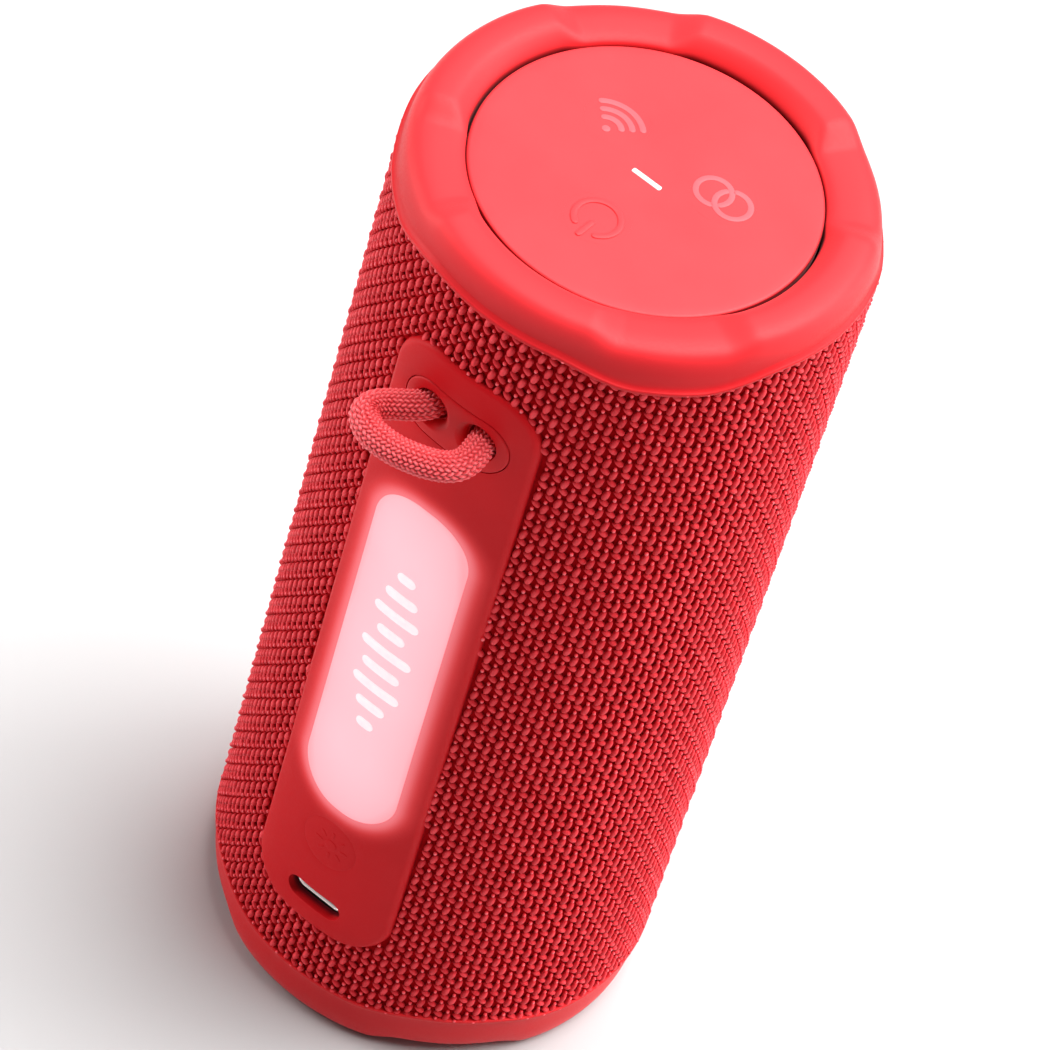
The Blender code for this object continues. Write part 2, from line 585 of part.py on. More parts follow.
def driver():
    basket = loft("driver_basket", [stadium_ring(*row) for row in (
        (44.0, 80.0, 18.0), (44.0, 80.0, 16.0), (36.8, 72.8, 16.0), (36.0, 72.0, 12.0), (34.0, 34.0, 3.0),
        (17.0, 17.0, 3.0), (17.0, 17.0, 4.2), (31.6, 31.6, 4.2), (34.0, 70.0, 12.6), (34.4, 70.4, 18.0))],
        (DARK, 0.5))
    boolean(basket, box("basket_window", (-30.0, 6.0, DRIVER_Z / MM - 11.0), (30.0, 10.5, DRIVER_Z / MM + 11.0)))
    loft("driver_surround", [stadium_ring(*row) for row in (
        (40.0, 76.0, 18.9), (35.5, 71.5, 21.0), (31.0, 67.0, 18.9), (31.0, 67.0, 18.3), (35.5, 71.5, 20.3),
        (40.0, 76.0, 18.3))], (DARK, 0.7))
    loft("driver_cone", [stadium_ring(*row) for row in (
        (30.4, 66.4, 19.0), (16.0, 16.0, 9.3), (17.2, 17.2, 8.8), (30.4, 66.4, 18.4))], (GREY, 0.7))
    loft("driver_gasket", [stadium_ring(*row) for row in (
        (44.0, 80.0, 15.7), (44.0, 80.0, 14.9), (38.4, 74.4, 14.9), (38.4, 74.4, 15.7))], (DARK, 0.9))
    centre = (0.0, 0.0, DRIVER_Z)
    turned("dust_cap", [(0.0, 12.0), (3.4, 11.6), (6.2, 10.6), (7.7, 9.7), (7.0, 9.6), (0.0, 9.6)],
           (GREY, 0.6), SMALL_STEPS, True, centre)
    turned("voice_coil", [(6.9, 8.4), (6.9, -0.2), (6.4, -0.2), (6.4, 8.4)], (COPPER, 0.4, 1.0), SMALL_STEPS, True, centre)
    turned("driver_spider", [(15.4, 5.8), (15.4, 5.2), (7.3, 5.2), (7.3, 5.8)], (COPPER, 0.9), SMALL_STEPS, True, centre)
    turned("driver_top_plate", [(14.5, 2.7), (14.5, 0.3), (7.3, 0.3), (7.3, 2.7)], (STEEL, 0.4, 1.0), SMALL_STEPS,
           True, centre)
    turned("driver_magnet", [(15.0, 0.0), (15.0, -2.9), (8.5, -2.9), (8.5, 0.0)], (GREY, 0.5), SMALL_STEPS, True, centre)
    turned("driver_yoke", [(0.0, 2.4), (6.0, 2.4), (6.0, -3.2), (15.0, -3.2), (15.0, -5.4), (0.0, -5.4)],
           (STEEL, 0.4, 1.0), SMALL_STEPS, True, centre)


def passive_radiator():
    turned("radiator_frame", [(25.2, 9.7), (25.2, 4.6), (22.0, 4.6), (22.0, 6.0), (22.6, 6.0), (22.6, 9.7)],
           (DARK, 0.5))
    turned("radiator_surround", [(22.3, 8.0), (22.3, 7.2), (21.5, 7.0), (19.8, 5.2), (18.1, 7.0), (17.3, 7.2),
                                 (17.3, 8.0), (18.6, 7.8), (19.8, 6.1), (21.0, 7.8)], (DARK, 0.7))
    turned("radiator_diaphragm", [(0.0, 8.0), (17.0, 8.0), (17.0, 6.8), (15.8, 6.2), (0.0, 6.2)], (DARK, 0.5))
    turned("radiator_weight", [(0.0, 10.8), (8.0, 10.8), (8.0, 8.3), (0.0, 8.3)], (STEEL, 0.4, 1.0), SMALL_STEPS)


# ---------------------------------------------------------------- power and electronics

def electronics():
    battery = (0.0, -17.4 * MM)
    cylinder("battery_cell", 9.2 * MM, (*battery, 52.0 * MM), (*battery, 117.0 * MM), (GREY, 0.5))
    box("battery_bracket_lower", (-10.0, -27.0, 48.5), (10.0, -8.0, 51.7), (DARK, 0.6), 0.6)
    box("battery_bracket_upper", (-10.0, -27.0, 117.3), (10.0, -8.0, 120.5), (DARK, 0.6), 0.6)
    box("main_board", (17.0, -20.0, 30.0), (18.2, 2.0, 112.0), (BOARD, 0.5))
    box("processor_can", (14.3, -16.0, 88.0), (16.7, -6.0, 98.0), (STEEL, 0.4, 1.0), 0.3)
    box("amplifier_chip", (15.7, -14.0, 40.0), (16.7, -8.0, 46.0), (DARK, 0.4), 0.1)
    wires = {
        "battery_lead": [(7.0, -12.0, 121.6), (7.2, -12.0, 124.0), (9.5, -11.5, 126.5), (13.5, -10.5, 126.0),
                         (16.8, -9.5, 121.0), (17.6, -9.0, 116.0), (17.6, -9.0, 112.4)],
        "speaker_lead": [(17.6, -3.0, 112.4), (17.6, -2.0, 116.0), (17.0, 1.5, 118.0), (15.0, 5.0, 114.0),
                         (13.5, 6.5, 106.5), (12.6, 7.0, 103.0)],
    }
    for name, route in wires.items():
        cord(name, smooth_route(route), 1.4 * MM, (RED if name == "battery_lead" else DARK, 0.6))


def build():
    rings()
    rear_housing()
    front_grille()
    front_baffle()
    baffle_screws()
    bulkheads()
    fabric_sleeve()
    rear_panel()
    light_window()
    light_key()
    lights()
    charging_socket()
    lanyard()
    top_controls()
    front_keys()
    driver()
    passive_radiator()
    electronics()


build()
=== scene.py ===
"""Detailed look of the portable cylinder speaker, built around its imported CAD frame.

Lengths in the helpers and constants are millimetres; a mesh is stored in metres. +Z is up, the rear
panel faces -Y, and every piece shares the frame's origin.
"""
import math

import bpy
import numpy as np
from mathutils import Matrix, Vector
from mathutils.geometry import delaunay_2d_cdt

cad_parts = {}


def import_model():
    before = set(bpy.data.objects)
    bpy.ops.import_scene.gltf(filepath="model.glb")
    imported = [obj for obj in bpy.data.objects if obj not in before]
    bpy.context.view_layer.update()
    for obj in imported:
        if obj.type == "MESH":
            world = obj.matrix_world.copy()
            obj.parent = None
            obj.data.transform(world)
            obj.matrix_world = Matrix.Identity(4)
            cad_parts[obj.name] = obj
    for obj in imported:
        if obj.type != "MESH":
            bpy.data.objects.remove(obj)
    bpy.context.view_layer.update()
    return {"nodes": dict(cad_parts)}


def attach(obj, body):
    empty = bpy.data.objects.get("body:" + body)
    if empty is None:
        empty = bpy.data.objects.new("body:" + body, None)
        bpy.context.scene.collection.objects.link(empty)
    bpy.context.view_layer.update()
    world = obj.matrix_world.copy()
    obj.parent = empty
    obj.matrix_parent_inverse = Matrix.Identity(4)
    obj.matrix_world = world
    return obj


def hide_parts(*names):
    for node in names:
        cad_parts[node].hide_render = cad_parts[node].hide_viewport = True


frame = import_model()

MM = 0.001

# ---------------- sizes, as in the CAD model
HEIGHT = 165.0
PANEL_OUTER = 35.2
PANEL_HALF_WIDTH = 12.75
PANEL_LOW = 21.3
PANEL_HIGH = 147.3
PANEL_CORNER = 8.0
PANEL_MIDDLE = (PANEL_LOW + PANEL_HIGH) / 2
PANEL_HALF_HEIGHT = (PANEL_HIGH - PANEL_LOW) / 2
WINDOW_HALF_WIDTH = 8.5
WINDOW_LOW = 49.3
WINDOW_HIGH = 118.5
WINDOW_CORNER = 7.8
WINDOW_MIDDLE = (WINDOW_LOW + WINDOW_HIGH) / 2
WINDOW_HALF_HEIGHT = (WINDOW_HIGH - WINDOW_LOW) / 2
PLATE_HALF_WIDTH = 9.2
PLATE_HALF_HEIGHT = 4.8
PLATE_Z = 136.7
PLATE_GAP = 0.12
LANYARD_X = 4.4
LANYARD_Z = 136.9
LIGHT_KEY_Z = 41.0
LIGHT_KEY_RADIUS = 4.9
USB_Z = 27.4
USB_SLOT = (4.98, 2.0)
USB_SHELL = (4.47, 1.6)
USB_WALL = 0.3
DISC_RADIUS = 25.4
DISC_TOP = 162.4
DISC_THICKNESS = 2.0
TOP_KEY_RADIUS = 4.8
TOP_KEYS = {"power": (11.2, -90.0), "pairing": (11.3, 150.0), "link": (10.9, 30.0)}
STATUS_BAR = (2.5, 0.43)
FRONT_KEYS = {"volume_down_key": 118.0, "play_key": 129.5, "volume_up_key": 141.0}
WINDOW_SEAM = 0.03                   # gap around the light window
KEY_SEAM = 0.006                     # the disc's keys and the light key are nearly seamless

CORD_ROUTE = [
    (-4.4, -30.3, 136.9), (-4.4, -31.6, 136.9), (-4.5, -32.9, 136.85), (-4.85, -34.2, 136.75),
    (-5.7, -35.4, 136.6), (-6.8, -36.4, 136.4), (-8.0, -37.3, 136.15), (-9.3, -38.3, 135.85),
    (-10.3, -39.5, 135.6), (-10.5, -40.9, 135.4), (-9.7, -42.2, 135.3), (-8.1, -43.1, 135.2),
    (-5.8, -43.4, 135.2), (-3.3, -43.2, 135.2), (-0.9, -42.6, 135.3), (1.3, -41.8, 135.45),
    (3.2, -40.7, 135.6), (4.5, -39.3, 135.8), (5.0, -37.6, 136.05), (4.85, -35.8, 136.35),
    (4.55, -34.0, 136.65), (4.4, -32.2, 136.85), (4.4, -30.3, 136.9),
]

# End ring sections, (radius, depth from the end plane), from the crest down the outer side
LOBE_SECTION = [(28.8, 0.0), (31.7, 0.0), (33.1, 0.7), (33.9, 2.4), (34.15, 4.6)]
SCOOP_SECTION = [(28.2, 1.6), (30.6, 1.5), (32.4, 1.85), (33.45, 3.0), (34.0, 5.0)]
# The same for the inner side, from the seat under the disc up to the crest
LOBE_INNER = [(25.6, 7.0), (25.75, 3.9), (25.8, 3.0), (26.05, 2.25), (26.7, 1.35), (27.7, 0.45)]
SCOOP_INNER = [(25.6, 7.0), (25.5, 3.6), (25.5, 2.9), (25.55, 2.6), (25.75, 2.2), (26.6, 1.8)]
# INNER_CREASE sets how much painted shade each inner point gets, in the crease along the ring's inner side
INNER_CREASE = (1.0, 1.0, 0.8, 0.2, 0.0, 0.0)    # how dark each inner point is
WALL_SHARE = (0.0, 0.0, 0.25, 0.7, 1.0)          # how far each point follows the wall's slow wave
TOP_RIM_DEPTHS = (6.0, 8.3)
BOTTOM_RIM_DEPTHS = (9.6, 10.9)
SCOOP_HALF_ANGLE = math.radians(22.2)
SCOOP_BLEND = math.radians(9.5)
WALL_HALF_ANGLE = math.radians(29.0)
WALL_BLEND = math.radians(22.0)
RIM_RADIUS = 34.85
RIM_HEIGHT = 0.75
RING_STEPS = 480
# The lip over the knit and the hidden side behind it, (radius, depth from the rim)
LIP_SECTION = [(34.2, -1.25), (34.6, -RIM_HEIGHT), (RIM_RADIUS, -0.62), (RIM_RADIUS, -0.12), (34.7, 0.0),
               (33.4, 0.0), (32.9, 0.3), (32.6, 1.4), (27.4, 1.4)]

# Knitted sleeve
KNIT_COLUMNS = 146
KNIT_PERIOD = 4.24
KNIT_SLANT = 5 * KNIT_PERIOD / KNIT_COLUMNS      # the courses climb five periods in one turn
KNIT_LEAN = math.radians(2.0)                    # of the columns, away from upright
KNIT_SECTORS = 10
KNIT_ROWS = (-3, 48)                             # first and last, some of them past the rims
KNIT_BASE = 33.95
KNIT_BASE_THICKNESS = 0.35
KNIT_TUCK = 0.35                                 # how far the knit goes under the lips
HEIGHT_SPREAD = 0.035                            # of the beads, about their even places
SIZE_SPREAD = 0.03
RADIUS_SPREAD = 0.025
LEAST_STRETCH = 0.22                             # a bead cut shorter than this at a rim is dropped
BACKING_ROWS = 40
BACKING_COLUMNS = 240
BEZEL_OUTER = 5.75
BEZEL_BEND = 35.0                                # radius around which the bezels bend

# ---------------- camera
CAMERA_PLACE = (0.27855, -0.58192, 0.81020)
CAMERA_RIGHT = (0.76192, 0.61606, 0.19985)
CAMERA_UP = (-0.57968, 0.51103, 0.63468)
CAMERA_BACK = (0.28887, -0.59943, 0.74648)

camera_data = bpy.data.cameras.new("camera")
camera_data.lens = 227.06
camera_data.sensor_width = 36.0
camera_data.clip_end = 20.0
camera = bpy.data.objects.new("camera", camera_data)
bpy.context.scene.collection.objects.link(camera)
turn = Matrix((CAMERA_RIGHT, CAMERA_UP, CAMERA_BACK)).transposed()
camera.matrix_world = Matrix.Translation(CAMERA_PLACE) @ turn.to_4x4()
bpy.context.scene.camera = camera


# ---------------- mesh helpers

def store(name, points, faces, sharp_degrees=40.0):
    """A mesh object from points in millimetres and faces that are a list or an array of one size."""
    mesh = bpy.data.meshes.new(name)
    points = np.asarray(points, dtype=np.float64) * MM
    if isinstance(faces, np.ndarray):
        count, sides = faces.shape
        mesh.vertices.add(len(points))
        mesh.vertices.foreach_set("co", points.ravel())
        mesh.loops.add(count * sides)
        mesh.loops.foreach_set("vertex_index", faces.ravel())
        mesh.polygons.add(count)
        mesh.polygons.foreach_set("loop_start", np.arange(0, count * sides, sides))
        mesh.update(calc_edges=True)
    else:
        mesh.from_pydata(points.tolist(), [], faces)
    mesh.shade_smooth()
    if sharp_degrees:
        mesh.set_sharp_from_angle(angle=math.radians(sharp_degrees))
    item = bpy.data.objects.new(name, mesh)
    bpy.context.scene.collection.objects.link(item)
    return item


def finish_piece(item, body, slot, nodes=(), look=None):
    """Give a piece its slot's material, attach it to its body and hide the CAD nodes that it stands for.

    The slot names the material, unless look names another.
    """
    item.data.materials.clear()
    item.data.materials.append(LOOKS[look or slot])
    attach(item, body)
    if nodes:
        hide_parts(*nodes)
    return item


def cut_out(item, cutter):
    """Take the cutter's shape out of an item, and delete the cutter."""
    step = item.modifiers.new("cut", "BOOLEAN")
    step.operation = "DIFFERENCE"
    step.solver = "EXACT"
    step.object = cutter
    graph = bpy.context.evaluated_depsgraph_get()
    mesh = bpy.data.meshes.new_from_object(item.evaluated_get(graph))
    item.modifiers.clear()
    item.data = mesh
    bpy.data.objects.remove(cutter, do_unlink=True)


def grid_faces(rows, columns, wrap_rows=False, wrap_columns=True):
    """Quads between points stored row by row."""
    r = np.arange(rows if wrap_rows else rows - 1)
    c = np.arange(columns if wrap_columns else columns - 1)
    r, c = np.meshgrid(r, c, indexing="ij")
    r = r.ravel()
    c = c.ravel()
    across = (c + 1) % columns
    down = (r + 1) % rows
    return np.stack([r * columns + c, r * columns + across, down * columns + across, down * columns + c], 1)


def soften(section, rounds=3):
    """Cut the corners of a closed section, round after round, so that it becomes a smooth curve."""
    section = np.asarray(section, dtype=float)
    for _ in range(rounds):
        after = np.roll(section, -1, axis=-2)
        near = 0.75 * section + 0.25 * after
        far = 0.25 * section + 0.75 * after
        section = np.stack([near, far], axis=-2).reshape(*section.shape[:-2], -1, section.shape[-1])
    return section


def turned(name, profile, segments=128, place=None):
    """Turn a profile of (radius, height), from axis to axis or closed, about the +Z axis."""
    angles = np.linspace(0.0, 2.0 * math.pi, segments, endpoint=False)
    points = []
    rows = []
    for radius, height in profile:
        if radius > 0:
            rows.append(list(range(len(points), len(points) + segments)))
            points.extend((radius * math.cos(a), radius * math.sin(a), height) for a in angles)
        else:
            rows.append([len(points)] * segments)
            points.append((0.0, 0.0, height))
    if profile[0][0] > 0:
        rows.append(rows[0])
    faces = []
    for upper, lower in zip(rows, rows[1:]):
        for i in range(segments):
            j = (i + 1) % segments
            corners = [upper[i], lower[i], lower[j], upper[j]]
            face = [corner for n, corner in enumerate(corners) if corner not in corners[:n]]
            faces.append(face)
    points = np.array(points)
    if place is not None:
        points = place(points)
    return store(name, points, faces)


def round_profile(profile, rounding, steps=4):
    """Round the inner corners of an open profile, by the same radius where there is room."""
    result = [profile[0]]
    for before, corner, after in zip(profile, profile[1:], profile[2:]):
        corner = np.array(corner, dtype=float)
        back = np.array(before) - corner
        ahead = np.array(after) - corner
        reach = min(rounding, np.linalg.norm(back) * 0.45, np.linalg.norm(ahead) * 0.45)
        start = corner + back / np.linalg.norm(back) * reach
        end = corner + ahead / np.linalg.norm(ahead) * reach
        for t in np.linspace(0.0, 1.0, steps + 1):
            result.append(tuple((1 - t) ** 2 * start + 2 * t * (1 - t) * corner + t ** 2 * end))
    return result + [profile[-1]]


# ---------------- flat shapes

def circle(radius, x=0.0, y=0.0, count=96):
    angles = np.linspace(0.0, 2.0 * math.pi, count, endpoint=False)
    return np.stack([x + radius * np.cos(angles), y + radius * np.sin(angles)], 1)


def dense(loop, spacing):
    """The same closed loop with points no further apart than spacing."""
    result = []
    for start, end in zip(loop, np.roll(loop, -1, axis=0)):
        count = max(1, int(math.ceil(np.linalg.norm(end - start) / spacing)))
        result.extend(start + (end - start) * t for t in np.arange(count) / count)
    return np.array(result)


def rounded_box(half_width, half_height, corner, x=0.0, y=0.0, spacing=0.5):
    """A rectangle with round corners, anticlockwise."""
    steps = max(4, int(math.ceil(corner * math.pi / 2 / spacing)))
    corners = [(half_width - corner, half_height - corner), (corner - half_width, half_height - corner),
               (corner - half_width, corner - half_height), (half_width - corner, corner - half_height)]
    points = []
    for quarter, (cx, cy) in enumerate(corners):
        for step in range(steps + 1):
            angle = math.pi / 2 * (quarter + step / steps)
            point = (x + cx + corner * math.cos(angle), y + cy + corner * math.sin(angle))
            if not points or math.dist(points[-1], point) > 0.01:
                points.append(point)
    if math.dist(points[0], points[-1]) < 0.01:
        points.pop()
    return dense(np.array(points), spacing)


def pill(half_width, half_height, y, spacing):
    """A rectangle with fully round ends."""
    return rounded_box(half_width, half_height, half_height - 0.001, 0.0, y, spacing)


def stroke(line, half_width, cap_steps=8):
    """The outline of a line drawn with a round pen, anticlockwise."""
    line = np.asarray(line, dtype=float)
    along = np.gradient(line, axis=0)
    along /= np.linalg.norm(along, axis=1, keepdims=True)
    side = np.stack([along[:, 1], -along[:, 0]], 1) * half_width
    caps = []
    for point, direction in ((line[-1], along[-1]), (line[0], -along[0])):
        heading = math.atan2(direction[1], direction[0])
        turns = heading + np.linspace(-math.pi / 2, math.pi / 2, cap_steps + 2)[1:-1]
        caps.append(point + half_width * np.stack([np.cos(turns), np.sin(turns)], 1))
    return np.concatenate([line + side, caps[0], (line - side)[::-1], caps[1]])


def segment(start, end, spacing=0.5):
    count = max(2, int(math.dist(start, end) / spacing) + 1)
    return np.linspace(start, end, count)


def arc(radius, start, end, x=0.0, y=0.0, count=40):
    angles = np.radians(np.linspace(start, end, count))
    return np.stack([x + radius * np.cos(angles), y + radius * np.sin(angles)], 1)


def moved(loop, x, y):
    return np.asarray(loop) + np.array([x, y])


def inside(points, loop):
    """Which points lie inside a closed loop."""
    result = np.zeros(len(points), dtype=bool)
    for (ax, ay), (bx, by) in zip(loop, np.roll(loop, -1, axis=0)):
        if ay == by:
            continue
        crosses = (ay > points[:, 1]) != (by > points[:, 1])
        reach = ax + (points[:, 1] - ay) * (bx - ax) / (by - ay)
        result ^= crosses & (points[:, 0] < reach)
    return result


def inset_loop(loop, distance):
    """A closed loop moved to its left side, which is the inside of an anticlockwise one."""
    along = np.roll(loop, -1, axis=0) - np.roll(loop, 1, axis=0)
    along /= np.linalg.norm(along, axis=1, keepdims=True)
    return loop + np.stack([-along[:, 1], along[:, 0]], 1) * distance


def plate_mesh(outline, holes, place, low, high, rounding, hole_rounding=None, spacing=0.9, steps=4):
    """Points and faces of a plate with rounded upper edges. place turns (u, v, height) into (x, y, z)."""
    if hole_rounding is None:
        hole_rounding = rounding
    loops = [(outline, rounding)] + [(hole[::-1], hole_rounding) for hole in holes]
    flat = []
    heights = []
    rims = []
    edges = []
    for loop, radius in loops:
        rims.append((len(flat), len(loop)))
        for step in range(steps + 1 if radius else 1):
            lean = math.pi / 2 * step / steps
            first = len(flat)
            flat.extend(inset_loop(loop, radius * (1 - math.cos(lean))))
            heights.extend([high - radius * (1 - math.sin(lean))] * len(loop))
            edges.extend((first + i, first + (i + 1) % len(loop)) for i in range(len(loop)))
    border = np.array(flat)
    low_corner = outline.min(axis=0)
    high_corner = outline.max(axis=0)
    axes = [np.arange(a + spacing / 2, b, spacing) for a, b in zip(low_corner, high_corner)]
    field = np.stack([axis.ravel() for axis in np.meshgrid(*axes, indexing="ij")], 1)
    keep = inside(field, outline)
    for hole in holes:
        keep &= ~inside(field, hole)
    field = field[keep]
    if len(field):
        apart = np.array([np.min(np.sum((border - point) ** 2, axis=1)) for point in field])
        field = field[apart > (max(rounding, hole_rounding) + 0.35 * spacing) ** 2]
    flat.extend(field)
    heights.extend([high] * len(field))
    found = delaunay_2d_cdt([Vector(p) for p in flat], edges, [], 0, 1e-7)
    vertices, faces, origins = found[0], found[2], found[3]
    flat = np.array([tuple(v) for v in vertices])
    lift = np.array([heights[origin[0]] for origin in origins])
    number = {origin[0]: index for index, origin in enumerate(origins)}
    middles = np.array([flat[list(face)].mean(axis=0) for face in faces])
    solid = inside(middles, outline)
    for hole in holes:
        solid &= ~inside(middles, hole)
    count = len(flat)
    upper = [tuple(face) for face, keep_face in zip(faces, solid) if keep_face]
    lower = [tuple(index + count for index in reversed(face)) for face in upper]
    walls = []
    for first, length in rims:
        for i in range(length):
            a = number[first + i]
            b = number[first + (i + 1) % length]
            walls.append((b, a, a + count, b + count))
    points = np.concatenate([place(flat[:, 0], flat[:, 1], lift),
                             place(flat[:, 0], flat[:, 1], np.full(count, low))])
    used = sorted({index for face in upper + lower + walls for index in face})
    renumber = {old: new for new, old in enumerate(used)}
    return points[used], [tuple(renumber[index] for index in face) for face in upper + lower + walls]


def plate(name, shapes, place, low, high, rounding, **options):
    """One piece of several plates. A shape is an outline, or (outline, [holes])."""
    points = []
    faces = []
    for shape in shapes:
        outline, holes = shape if isinstance(shape, tuple) else (shape, [])
        more_points, more_faces = plate_mesh(outline, holes, place, low, high, rounding, **options)
        first = sum(len(group) for group in points)
        points.append(more_points)
        faces.extend(tuple(first + index for index in face) for face in more_faces)
    return store(name, np.concatenate(points), faces)


def on_rear(u, v, height):
    """Around the rear of the speaker: u is x, v is z, and height is from the panel's face."""
    radius = PANEL_OUTER + height
    return np.stack([u, -np.sqrt(radius ** 2 - u ** 2), v], 1)


def on_top(u, v, height):
    return np.stack([u, v, DISC_TOP + height], 1)


def facing_back(u, v, height):
    return np.stack([u, -height, v], 1)


def facing_front(u, v, height):
    return np.stack([-u, height, v], 1)


# ---------------- materials

class Look:
    """A node material under construction. Coordinates are the speaker's own, in metres."""

    def __init__(self, name, roughness=0.5, metallic=0.0):
        self.material = bpy.data.materials.new(name)
        self.material.use_nodes = True
        self.tree = self.material.node_tree
        self.shader = self.tree.nodes["Principled BSDF"]
        self.set("Roughness", roughness)
        self.set("Metallic", metallic)
        self.place = self.tree.nodes.new("ShaderNodeTexCoord").outputs["Object"]

    def put(self, socket, value):
        if isinstance(value, bpy.types.NodeSocket):
            self.tree.links.new(value, socket)
        elif isinstance(value, tuple) and len(value) == 3 and socket.type == "RGBA":
            socket.default_value = (*value, 1.0)
        else:
            socket.default_value = value

    def set(self, name, value):
        self.put(self.shader.inputs[name], value)

    def node(self, kind, inputs, output, **options):
        """One output of a new node. inputs holds a value or another node's output for each input."""
        node = self.tree.nodes.new("ShaderNode" + kind)
        for name, value in options.items():
            setattr(node, name, value)
        for name, value in inputs.items():
            self.put(node.inputs[name], value)
        return node.outputs[output]

    def noise(self, scale, detail=2.0, stretch=None):
        place = self.place
        if stretch:
            place = self.node("Mapping", {"Vector": place, "Scale": stretch}, "Vector")
        return self.node("TexNoise", {"Vector": place, "Scale": scale, "Detail": detail}, "Fac")

    def cells(self, scale, feature="F1"):
        return self.node("TexVoronoi", {"Vector": self.place, "Scale": scale}, "Distance", feature=feature)

    def wave(self, scale, direction):
        return self.node("TexWave", {"Vector": self.place, "Scale": scale}, "Fac", bands_direction=direction)

    def axis(self, name):
        return self.node("SeparateXYZ", {"Vector": self.place}, name)

    def math(self, operation, first, second=0.0, clamp=False):
        return self.node("Math", {0: first, 1: second}, "Value", operation=operation, use_clamp=clamp)

    def spread(self, value, low, high, start=0.0, end=1.0, smooth=False):
        """Map low..high to start..end."""
        curve = "SMOOTHSTEP" if smooth else "LINEAR"
        inputs = {0: value, 1: low, 2: high, 3: start, 4: end}
        return self.node("MapRange", inputs, "Result", interpolation_type=curve)

    def vary(self, scale, detail, start=0.0, end=1.0):
        """A value that wanders from start to end with a noise."""
        return self.spread(self.noise(scale, detail), 0.3, 0.7, start, end)

    def mix(self, factor, first, second):
        return self.node("Mix", {0: factor, 6: first, 7: second}, 2, data_type="RGBA")

    def bump(self, height, depth, strength=1.0):
        """Depth is in millimetres. A second call adds to the first."""
        inputs = {"Height": height, "Distance": depth * MM, "Strength": strength}
        normal = self.shader.inputs["Normal"]
        if normal.links:
            inputs["Normal"] = normal.links[0].from_socket
        self.put(normal, self.node("Bump", inputs, "Normal"))

    def attribute(self, name):
        """A value stored at the mesh's points."""
        return self.node("Attribute", {}, "Fac", attribute_name=name)

    def sheen(self, weight, roughness, tint):
        self.set("Sheen Weight", weight)
        self.set("Sheen Roughness", roughness)
        self.set("Sheen Tint", tint)

    def length(self, first, second):
        squares = [self.math("MULTIPLY", side, side) for side in (first, second)]
        return self.math("SQRT", self.math("ADD", *squares))

    def radius(self):
        """Distance from the speaker's axis, in metres."""
        return self.length(self.axis("X"), self.axis("Y"))

    def from_window(self):
        """Distances from the window's middle, across and along it, in metres."""
        along = self.math("SUBTRACT", self.axis("Z"), WINDOW_MIDDLE * MM)
        return self.math("ABSOLUTE", self.axis("X")), self.math("ABSOLUTE", along)


RED = (0.82, 0.040, 0.047)
RED_SHADE = (0.78, 0.034, 0.041)
RING_RED = (0.76, 0.030, 0.036)
# painted shade on the end rings' walls, below the crest
WALL_PAINTED_SHADE = (0.64, 0.012, 0.017)
# painted shade in the crease beside the disc
CREASE_PAINTED_SHADE = (0.10, 0.001, 0.002)
# painted shade at the disc's edge, beside the ring
DISC_EDGE_PAINTED_SHADE = (0.16, 0.001, 0.003)
PANEL_RED = (0.60, 0.006, 0.010)
PANEL_SHADE = (0.56, 0.005, 0.009)
# painted shade on the panel's side walls
PANEL_SIDE_PAINTED_SHADE = (0.12, 0.001, 0.006)
FAR_HALO = (1.0, 0.13, 0.14)
NEAR_HALO = (1.0, 0.40, 0.45)
HALO_REACH = 5.6                     # how far light from the window leaks into the panel
NEAR_HALO_REACH = 2.4
# painted highlight on the knit's nubs
NUB_PAINTED_HIGHLIGHT = (0.95, 0.22, 0.25)
NUB_RADII = (34.86, 34.94)           # only the nubs stand out this far
CLOUD_SCALE = 90.0


def rubber(name, roughness=0.46, grain=1.0, sheen=0.15, gloss=0.22):
    """The finish of soft-touch rubber or silicone, matte and finely grained, without its colour."""
    look = Look(name)
    look.set("Roughness", look.vary(2600.0, 3.0, roughness - 0.05, roughness + 0.07))
    look.sheen(sheen, 0.4, (1.0, 0.55, 0.55))
    look.set("Specular IOR Level", gloss)
    look.bump(look.noise(5200.0), 0.012 * grain, 0.6)
    look.bump(look.noise(260.0), 0.03 * grain, 0.25)
    return look


def rubber_look(name, color, shade, *finish):
    """Rubber or silicone that is a little cloudy in tone."""
    look = rubber(name, *finish)
    look.set("Base Color", look.mix(look.vary(CLOUD_SCALE, 3.0), shade, color))
    return look.material


def ring_look():
    """The end rings: painted shade that deepens down their walls away from the end planes, and painted shade
    in the crease beside the disc.
    """
    look = rubber("end_rubber_look", sheen=0.08, gloss=0.16)
    middle = HEIGHT / 2 * MM
    from_middle = look.math("ABSOLUTE", look.math("SUBTRACT", look.axis("Z"), middle))
    depth = look.math("SUBTRACT", middle, from_middle)
    # painted shade: the walls darken with distance from the end planes, as if lit only from above
    color = look.mix(look.spread(depth, 0.0010, 0.0052, smooth=True), RING_RED, WALL_PAINTED_SHADE)
    # painted shade in the crease beside the disc, from the crease_shade weights
    color = look.mix(look.spread(look.attribute("crease_shade"), 0.25, 0.95), color, CREASE_PAINTED_SHADE)
    # a cloudy tone that moves up to 6% towards the painted wall shade colour
    look.set("Base Color", look.mix(look.vary(CLOUD_SCALE, 3.0, 0.0, 0.06), color, WALL_PAINTED_SHADE))
    return look.material


def disc_look():
    """The top disc's silicone, with painted shade around its edge where it meets the ring."""
    look = rubber("disc_silicone_look", 0.44, 0.6)
    color = look.mix(look.vary(CLOUD_SCALE, 3.0), RED_SHADE, RED)
    # painted shade: the disc's outer quarter millimetre goes nearly black, as in the ring's shadow
    edge = look.spread(look.radius(), (DISC_RADIUS - 0.26) * MM, (DISC_RADIUS - 0.02) * MM, smooth=True)
    look.set("Base Color", look.mix(edge, color, DISC_EDGE_PAINTED_SHADE))
    return look.material


